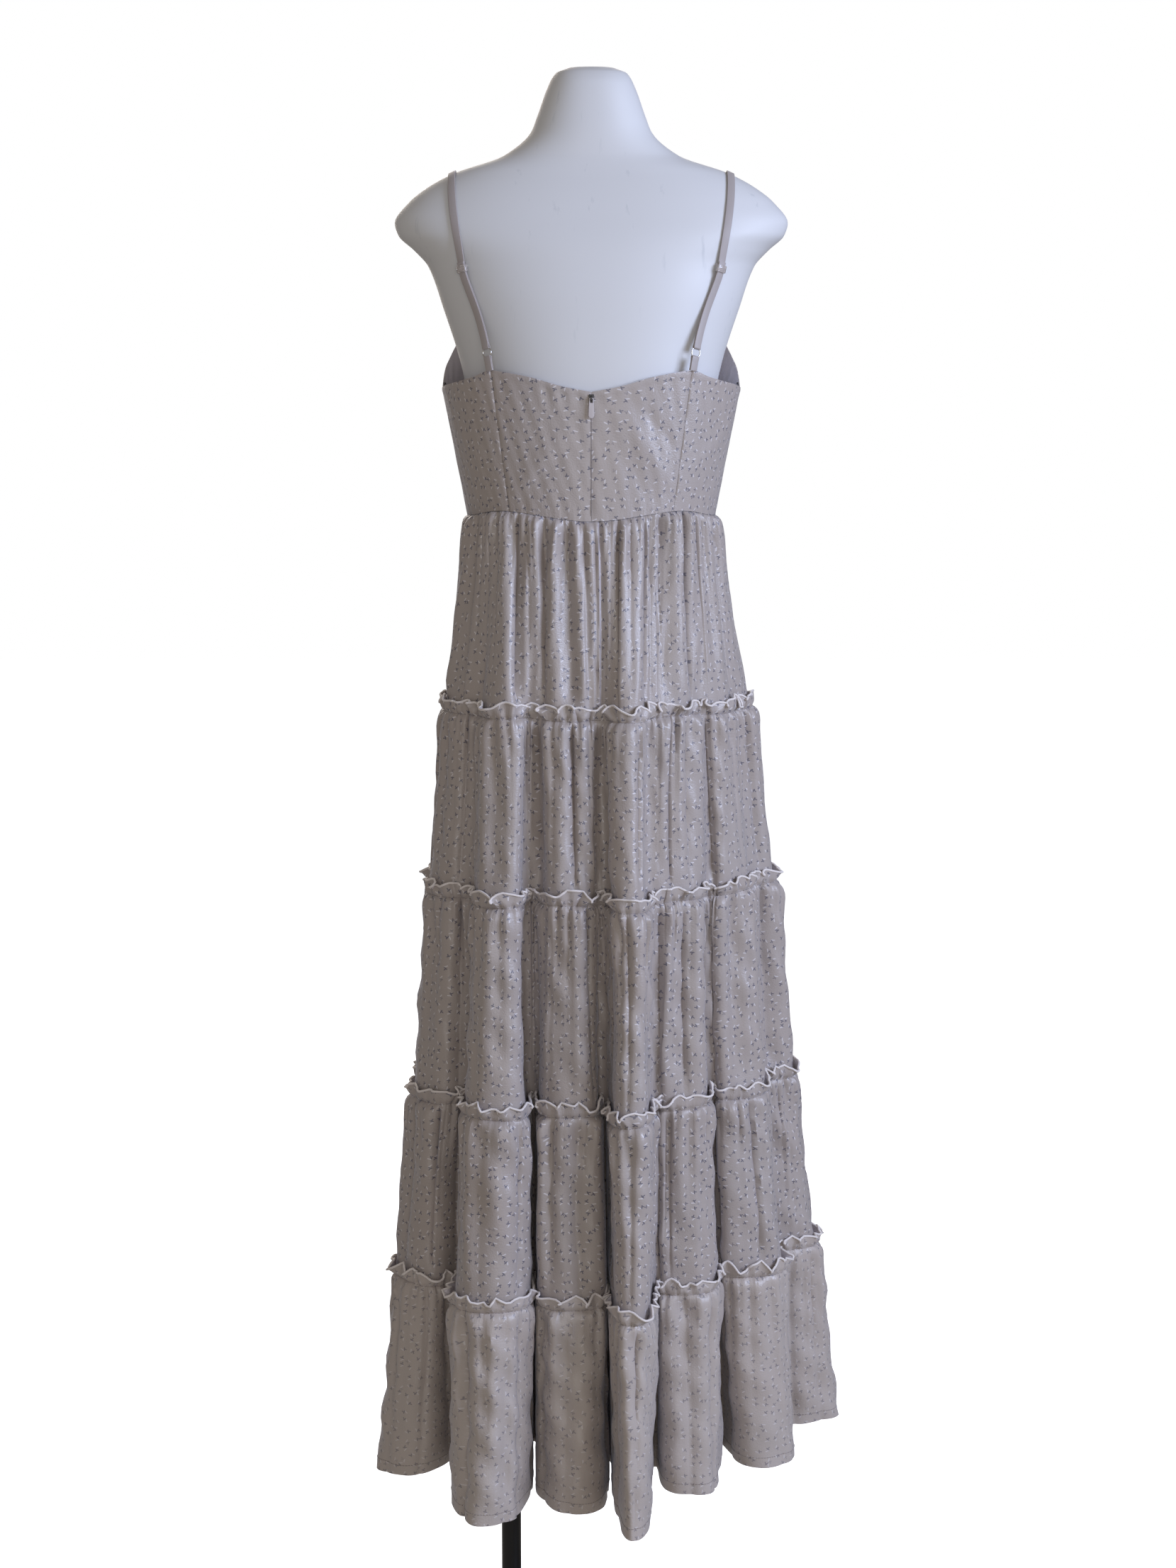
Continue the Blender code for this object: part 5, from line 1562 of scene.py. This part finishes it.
@dataclass
class Stand:
    """The pole with its collar, and the round base.

    Args:
        wardrobe: The finishes.
        centre: x and y of the pole.
        pole_top: The pole's upper end, under the form.
        pole_radius: Its radius.
        collar_radius: The radius of the collar at its foot.
        collar_height: The collar's height.
        base_radius: The base's radius.
        base_thickness: Its thickness.
        bevel: The rounding of their edges.
        fillet: The width and height of the small slope from the pole to the collar.
        gap: The space between two pieces.
        sides: Points round a piece.
    """

    wardrobe: Wardrobe
    centre: tuple[float, float] = (0.087, -0.030)
    pole_top: float = 0.930
    pole_radius: float = 10.5 * MM
    collar_radius: float = 19 * MM
    collar_height: float = 22 * MM
    base_radius: float = 0.180
    base_thickness: float = 8 * MM
    bevel: float = 1.5 * MM
    fillet: tuple[float, float] = (0.8 * MM, 0.6 * MM)
    gap: float = 0.3 * MM
    sides: int = 96

    def _turned(
        self, name: str, profile: list[tuple[float, float]], centre: tuple[float, float], node: str
    ) -> None:
        """Builds a turned piece from radius and height pairs, top to bottom."""
        angle = np.arange(self.sides) * 2 * math.pi / self.sides
        rings = [np.column_stack((centre[0] + radius * np.cos(angle), centre[1] + radius * np.sin(angle),
                                  np.full(self.sides, height))) for radius, height in profile]
        piece = add_mesh(name, *loft(np.array(rings)), self.wardrobe.powder)
        piece.data.set_sharp_from_angle(angle=math.radians(35))
        settle(piece, (node,))

    def _rounded(self, radius: float, height: float) -> list[tuple[float, float]]:
        """Returns a rounded upper edge of that outer radius and top height."""
        turns = np.linspace(math.pi / 2, 0, 6)
        return [(radius - self.bevel * (1 - math.cos(turn)), height - self.bevel * (1 - math.sin(turn)))
                for turn in turns]

    def build(self) -> None:
        """Builds the stand."""
        thick = self.base_thickness
        rim = self._rounded(self.base_radius, thick)
        base = [(self.base_radius * 0.5, thick), *rim, (self.base_radius, 0.0)]
        self._turned("base_plate", base, (0.0, 0.0), "stand_base")
        foot = thick + self.gap
        collar_top, (wide, high) = foot + self.collar_height, self.fillet
        pole = [(self.pole_radius, self.pole_top - self.gap), (self.pole_radius, collar_top + high),
                (self.pole_radius + wide, collar_top), *self._rounded(self.collar_radius, collar_top),
                (self.collar_radius, foot)]
        self._turned("pole_and_collar", pole, self.centre, "stand_pole")


# Straps


@dataclass
class Ribbon:
    """A band swept along a path, with softly rounded edges.

    Args:
        width: Its width.
        thickness: Its thickness.
    """

    width: float
    thickness: float

    def build(
        self, name: str, path: tuple[Array, Array, Array], finish: Material, side: Side
    ) -> Object:
        """Sweeps the band.

        Args:
            name: The piece's name.
            path: The band's middle line on the wearer's left, with its outward and crosswise directions.
            finish: Its material.
            side: The side that it is built on.

        Returns:
            The new object.
        """
        points, out, across = path
        half, deep = self.width / 2, self.thickness / 2
        end = half - deep
        turns = np.radians((-60, -30, 0, 30, 60))
        right = [(end + deep * math.cos(turn), deep * math.sin(turn)) for turn in turns]
        outline = [(-end, -deep), (0.0, -deep), (end, -deep), *right, (end, deep), (0.0, deep), (-end, deep)]
        section = np.array(outline + [(-x, y) for x, y in right[::-1]])[None]
        corners = points[:, None] + across[:, None] * section[..., :1] + out[:, None] * section[..., 1:]
        piece = add_mesh(name, *loft(corners * (side.sign, 1, 1)), finish)
        point_outwards(piece, 50)
        return piece


@dataclass
class Straps:
    """Both shoulder straps with their tabs, rings and sliders.

    Args:
        wardrobe: The finishes.
        form: The form that they lie on.
        bodice: The bodice that they are sewn to.
        width: The tape's width.
        cut_width: The width that it is cut to, with its turned edges; not used.
        tape: Its thickness.
        off_skin: The space between the tape and the form.
        layer_gap: The space between its two layers.
        edge_depth: How far under the bodice's face it is sewn in.
        edge_reach: The length over the bodice's edge in which it comes to lie on the form.
        back_deg: Where the strap meets the bodice's back.
        front_deg: Where it meets the bodice's front.
        back_knots: Height and x of the strap's middle on the back, upwards.
        front_knots: The same on the front.
        top_x: x of its highest place.
        ring_radius: The ring's radius, to the middle of its wire.
        ring_off: How far the ring lies over the tape's middle.
        wire: The wire's radius.
        wire_gap: The space between the wire and the tape.
        ring_height: The height of the ring.
        slider_height: The height of the slider.
        slider_rise: How far the tape rises at the slider.
        slider_length: Its length along the strap.
    """

    wardrobe: Wardrobe
    form: DressForm
    bodice: Bodice
    width: float = 8 * MM
    cut_width: float = 0.010
    tape: float = 1.2 * MM
    off_skin: float = 1.1 * MM
    layer_gap: float = 0.35 * MM
    edge_depth: float = 1.2 * MM
    edge_reach: float = 0.070
    back_deg: float = 52
    front_deg: float = -50
    back_knots: tuple = ((1.386, 0.0935), (1.403, 0.0970), (1.486, 0.1257), (1.560, 0.1380))
    front_knots: tuple = ((1.440, 0.1000), (1.490, 0.1220), (1.560, 0.1380))
    top_x: float = 0.139
    ring_radius: float = 5.0 * MM
    ring_off: float = 0.75 * MM
    wire: float = 0.65 * MM
    wire_gap: float = 0.1 * MM
    ring_height: float = 1.4035
    slider_height: float = 1.486
    slider_rise: float = 1.8 * MM
    slider_length: float = 7.0 * MM

    def _shoulder_top(self) -> float:
        """Returns the height, over the form's widest row, where it is as wide as the straps reach."""
        widest = max(self.form.rows, key=lambda row: row.half_width)
        low, high = widest.height, 1.600
        while high - low > 0.01 * MM:
            middle = (low + high) / 2
            low, high = (middle, high) if self.form.oval(middle).half_width > self.top_x else (low, middle)
        return low

    def _side_path(self, knots: tuple, edge_deg: float, back: bool) -> list[Array]:
        """Returns one side of the strap's path, from the bodice's edge up to the shoulder."""
        top = self._shoulder_top()
        edge = self.bodice.point(edge_deg, float(self.bodice.top(edge_deg)), self.edge_depth)
        heights, places = zip(*knots, (top, self.top_x))
        path = []
        for part in np.linspace(0, 1, 70):
            height = edge[2] + (top - edge[2]) * math.sin(part * math.pi / 2)
            x = float(smooth_value(height, heights, places))
            spot = np.array((x, self.form.reach(x, height, back), height))
            off = max(0.0, 1 - (height - edge[2]) / self.edge_reach)
            lifted = edge[:2] - np.array((places[0], self.form.reach(places[0], edge[2], back)))
            spot[:2] += lifted * off * off * (3 - 2 * off)
            path.append(spot)
        return path

    def frames(self) -> tuple[Array, Array, Array]:
        """Returns the left strap's skin line, its outward directions and its directions across."""
        back = self._side_path(self.back_knots, self.back_deg, True)
        front = self._side_path(self.front_knots, self.front_deg, False)
        path = np.array(back + front[::-1][1:])
        length = np.append(0, np.cumsum(np.linalg.norm(np.diff(path, axis=0), axis=1)))
        places = np.linspace(0, length[-1], 240)
        points = np.stack([np.interp(places, length, path[:, axis]) for axis in range(3)], axis=-1)
        out = np.array([self.form.normal(point) for point in points])
        for _ in range(40):
            out[1:-1] = unit(out[:-2] + 2 * out[1:-1] + out[2:])
        along = unit(np.gradient(points, axis=0))
        out = unit(out - along * np.sum(out * along, axis=1)[:, None])
        return points, out, np.cross(out, along)

    def _index(self, points: Array, height: float) -> int:
        """Returns the place on the strap's back half nearest a height."""
        back_half = points[: int(np.argmax(points[:, 2]))]
        return int(np.argmin(np.abs(back_half[:, 2] - height)))

    def build(self) -> None:
        """Builds both straps."""
        points, out, across = self.frames()
        along = unit(np.gradient(points, axis=0))
        ring, slider = self._index(points, self.ring_height), self._index(points, self.slider_height)
        skin = self.off_skin + self.tape / 2
        # The lower layer rises at the slider, and the upper one lies on it from the ring to there
        rise = self.slider_rise * np.exp(-(((np.arange(len(points)) - slider) / 10) ** 2))
        under = points + out * (skin + rise)[:, None]
        over = under + out * (self.tape + self.layer_gap)
        reach = self.ring_radius / float(np.linalg.norm(points[1] - points[0]))
        above, below = int(round(ring + reach)) + 2, int(round(ring - reach)) - 1
        centre = points[ring] + out[ring] * (skin + self.ring_off)
        wire_top = centre + along[ring] * self.ring_radius
        wire_low = centre - along[ring] * self.ring_radius
        # Both ends loop round the ring's wire, from over it to under it
        turn = np.linspace(-math.pi / 2, -3 * math.pi / 2, 9)
        bend = self.wire + self.tape / 2 + self.wire_gap
        round_wire = out[ring] * np.sin(turn)[:, None] * -bend
        into_ring = along[ring] * np.cos(turn)[:, None] * bend
        loop_side = np.repeat(across[ring][None], len(turn), 0)
        loop, tab_loop = wire_top + round_wire + into_ring, wire_low + round_wire - into_ring
        doubled = slice(above, slider + 5)
        strap_path = (
            np.concatenate((over[doubled][::-1], loop, under[above:])),
            np.concatenate((out[doubled][::-1], unit(loop - wire_top), -out[above:])),
            np.concatenate((across[doubled][::-1], loop_side, across[above:])),
        )
        tab_path = (
            np.concatenate((over[:below], tab_loop, under[:below][::-1])),
            np.concatenate((out[:below], unit(tab_loop - wire_low), -out[:below][::-1])),
            np.concatenate((across[:below], loop_side, across[:below][::-1])),
        )
        for side in Side:
            self._tape("strap", strap_path, side)
            self._tape("strap_tab", tab_path, side)
            self._ring(side, centre, out[ring], across[ring], along[ring])
            self._slider(side, under[slider], out[slider], across[slider], along[slider])

    def _tape(self, node: str, path: tuple[Array, Array, Array], side: Side) -> None:
        name = f"tape_{node.removeprefix('strap_')}_{side.value}"
        piece = Ribbon(self.width, self.tape).build(name, path, self.wardrobe.tape, side)
        settle(piece, (f"{node}_{side.value}",))

    def _ring(self, side: Side, centre: Array, out: Array, across: Array, along: Array) -> None:
        """Builds the wire ring."""
        turns = np.linspace(0, 2 * math.pi, 49)[:-1]
        rolls = np.linspace(0, 2 * math.pi, 13)[:-1]
        corners = []
        for turn in turns:
            spoke = across * math.cos(turn) + along * math.sin(turn)
            corners += [centre + spoke * (self.ring_radius + self.wire * math.cos(roll))
                        + out * self.wire * math.sin(roll) for roll in rolls]
        points, faces = np.array(corners) * (side.sign, 1, 1), torus_faces(len(turns), len(rolls))
        piece = add_mesh(f"wire_ring_{side.value}", points, faces, self.wardrobe.nickel)
        point_outwards(piece, 60)
        settle(piece, (f"strap_ring_{side.value}",))

    def _slider(self, side: Side, centre: Array, out: Array, across: Array, along: Array) -> None:
        """Builds the strap slider: a rounded frame round both layers of tape."""
        half = self.width / 2 + 0.8 * MM
        low, high = -self.tape / 2 - 0.7 * MM, 1.5 * self.tape + 1.0 * MM
        edge = 0.9 * MM
        rounds = ((half - edge, high - edge), (edge - half, high - edge), (edge - half, low + edge),
                  (half - edge, low + edge))
        outline = []
        for quarter, corner in enumerate(rounds):
            for turn in np.radians(np.linspace(quarter * 90, quarter * 90 + 90, 5)):
                outline.append(np.array(corner) + edge * np.array((math.cos(turn), math.sin(turn))))
        outline = np.array(outline)
        wall, long = 0.42 * MM, self.slider_length / 2
        section = ((-long, -wall), (-long, wall), (-long + wall, wall * 1.5), (long - wall, wall * 1.5),
                   (long, wall), (long, -wall))
        corners = []
        for spot, normal in zip(outline, outward(outline)):
            for run, lift in section:
                place = spot + normal * lift
                corners.append(centre + along * run + across * place[0] + out * place[1])
        points, faces = np.array(corners) * (side.sign, 1, 1), torus_faces(len(outline), len(section))
        piece = add_mesh(f"nylon_slider_{side.value}", points, faces, self.wardrobe.nylon)
        point_outwards(piece, 50)
        settle(piece, (f"strap_slider_{side.value}",))


# Zip


@dataclass
class Zip:
    """The centre back zip: its slider, swinging pull and the coil between the two edges.

    Args:
        wardrobe: The finishes.
        bodice: The bodice that it closes.
        edge_round: The rounding of the slider's and the pull's edges.
        chain_top: The height of the coil's upper end.
        chain_low: The height of its lower end.
    """

    wardrobe: Wardrobe
    bodice: Bodice
    edge_round: float = 0.28 * MM
    chain_top: float = 1.3535
    chain_low: float = 1.2440

    def _fine(self, node: str, name: str, finish: Material, body: str) -> None:
        """Rounds the edges of a copy of a solid and dresses it."""
        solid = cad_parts[node]
        mesh = solid.data.copy()
        mesh.transform(solid.matrix_world)
        mesh.materials.clear()
        mesh.materials.append(finish)
        piece = bpy.data.objects.new(name, mesh)
        bpy.context.scene.collection.objects.link(piece)
        shape = bmesh.new()
        shape.from_mesh(mesh)
        bmesh.ops.remove_doubles(shape, verts=shape.verts, dist=1e-6)
        bmesh.ops.dissolve_limit(shape, angle_limit=math.radians(2), verts=shape.verts, edges=shape.edges)
        edges = [edge for edge in shape.edges if len(edge.link_faces) == 2 and edge.calc_face_angle(0) > 0.5]
        bmesh.ops.bevel(shape, geom=edges, offset=self.edge_round, segments=3, profile=0.6, affect="EDGES")
        shape.to_mesh(mesh)
        shape.free()
        mesh.shade_smooth()
        mesh.set_sharp_from_angle(angle=math.radians(45))
        settle(piece, (node,), body)

    def build(self) -> None:
        """Builds the zip's pieces."""
        self._fine("zip_slider", "zip_slider_fine", self.wardrobe.dark_enamel, BODY)
        self._fine("zip_pull", "zip_pull_fine", self.wardrobe.enamel, PULL_BODY)
        heights = np.linspace(self.chain_top, self.chain_low, 60)
        line = self.bodice.point(90.0, heights, 0.35 * MM)
        coil = TrimNodes().stitches("zip_coil", line, closed=False, pitch=1.3 * MM, length=0.7 * MM,
                                    radius=0.5 * MM, finish=self.wardrobe.thread)
        settle(coil)


# Studio


class Lamp(NamedTuple):
    """A large square light: its place, its side in metres, its watts and its colour."""

    name: str
    place: tuple[float, float, float]
    size: float
    watts: float
    colour: str


@dataclass
class Studio:
    """The pale floor, the soft light and the camera at the photograph's angle.

    Args:
        wardrobe: The finishes.
        eye: The camera's place.
        tilt_deg: How far it looks down.
        lens: Its focal length in millimetres, on a frame 36 mm wide.
        lamps: The window's cool light at the right, and two weak warm ones that fill the shadows.
        aim: The place on the dress that the lights point at.
        floor_half: Half the floor's width.
        ambient: The strength of the light from all round.
        paper_glow: How bright the floor looks by itself.
    """

    wardrobe: Wardrobe
    eye: tuple[float, float, float] = (0.0033, 2.72, 1.34)
    tilt_deg: float = 7.9
    lens: float = 60.64
    lamps: tuple[Lamp, ...] = (
        Lamp("key_right", (-2.4, 1.75, 2.1), 1.4, 92, "#D0DEFF"),
        Lamp("fill_front", (-0.2, 3.6, 1.4), 2.0, 23, "#FFFCFA"),
        Lamp("back_light", (0.6, -2.8, 2.2), 2.0, 40, "#FFF4EA"),
    )
    aim: tuple[float, float, float] = (0.0, 0.0, 0.85)
    floor_half: float = 12.0
    ambient: float = 0.27
    paper_glow: float = 0.86

    def _light(self, lamp: Lamp) -> None:
        """Adds a light that points at the dress."""
        light = bpy.data.lights.new(lamp.name, "AREA")
        light.size, light.energy, light.color = lamp.size, lamp.watts, linear(lamp.colour)[:3]
        made = bpy.data.objects.new(lamp.name, light)
        made.location = lamp.place
        made.rotation_euler = (Vector(self.aim) - Vector(lamp.place)).to_track_quat("-Z", "Y").to_euler()
        bpy.context.scene.collection.objects.link(made)

    def _world(self) -> World:
        """Returns a white surround that lights the room less than it shows."""
        world = bpy.data.worlds.new("studio_white")
        world.use_nodes = True
        tree = world.node_tree
        seen = tree.nodes["Background"]
        seen.inputs["Color"].default_value = (1, 1, 1, 1)
        lit = add_node(tree, "ShaderNodeBackground", {"Color": linear("#FFF6EE"), "Strength": self.ambient})
        path = add_node(tree, "ShaderNodeLightPath")
        both = add_node(tree, "ShaderNodeMixShader", {
            0: path.outputs["Is Camera Ray"], 1: lit.outputs[0], 2: seen.outputs[0]})
        tree.links.new(both.outputs[0], tree.nodes["World Output"].inputs["Surface"])
        return world

    def build(self) -> None:
        """Sets up the studio."""
        scene = bpy.context.scene
        corners = np.array(((-1, -1, 0), (1, -1, 0), (1, 1, 0), (-1, 1, 0))) * self.floor_half
        floor = add_mesh("studio_floor", corners, [(0, 1, 2, 3)], self.wardrobe.paper)
        # The paper looks bright, as in a lit studio, but throws no light up under the skirt
        paper = self.wardrobe.paper.node_tree.nodes["Principled BSDF"]
        paper.inputs["Emission Color"].default_value = linear("#F8FBFF")
        paper.inputs["Emission Strength"].default_value = self.paper_glow
        floor.visible_diffuse = floor.visible_glossy = False
        scene.world = self._world()
        for lamp in self.lamps:
            self._light(lamp)
        camera = bpy.data.objects.new("camera", bpy.data.cameras.new("camera"))
        camera.data.lens, camera.data.sensor_width = self.lens, 36
        camera.location = self.eye
        camera.rotation_euler = (math.radians(90 - self.tilt_deg), 0, math.pi)
        scene.collection.objects.link(camera)
        scene.camera = camera
        scene.view_settings.view_transform = "Standard"


def main() -> None:
    """Dresses every part of the frame."""
    logging.basicConfig(level=logging.INFO, format="%(message)s")
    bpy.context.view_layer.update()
    wardrobe = Wardrobe()
    form = DressForm(wardrobe)
    bodice = Bodice(wardrobe)
    form.build()
    Stand(wardrobe).build()
    Skirt(wardrobe).build(bodice.build())
    Straps(wardrobe, form, bodice).build()
    Zip(wardrobe, bodice).build()
    Studio(wardrobe).build()


if __name__ == "__main__":
    main()
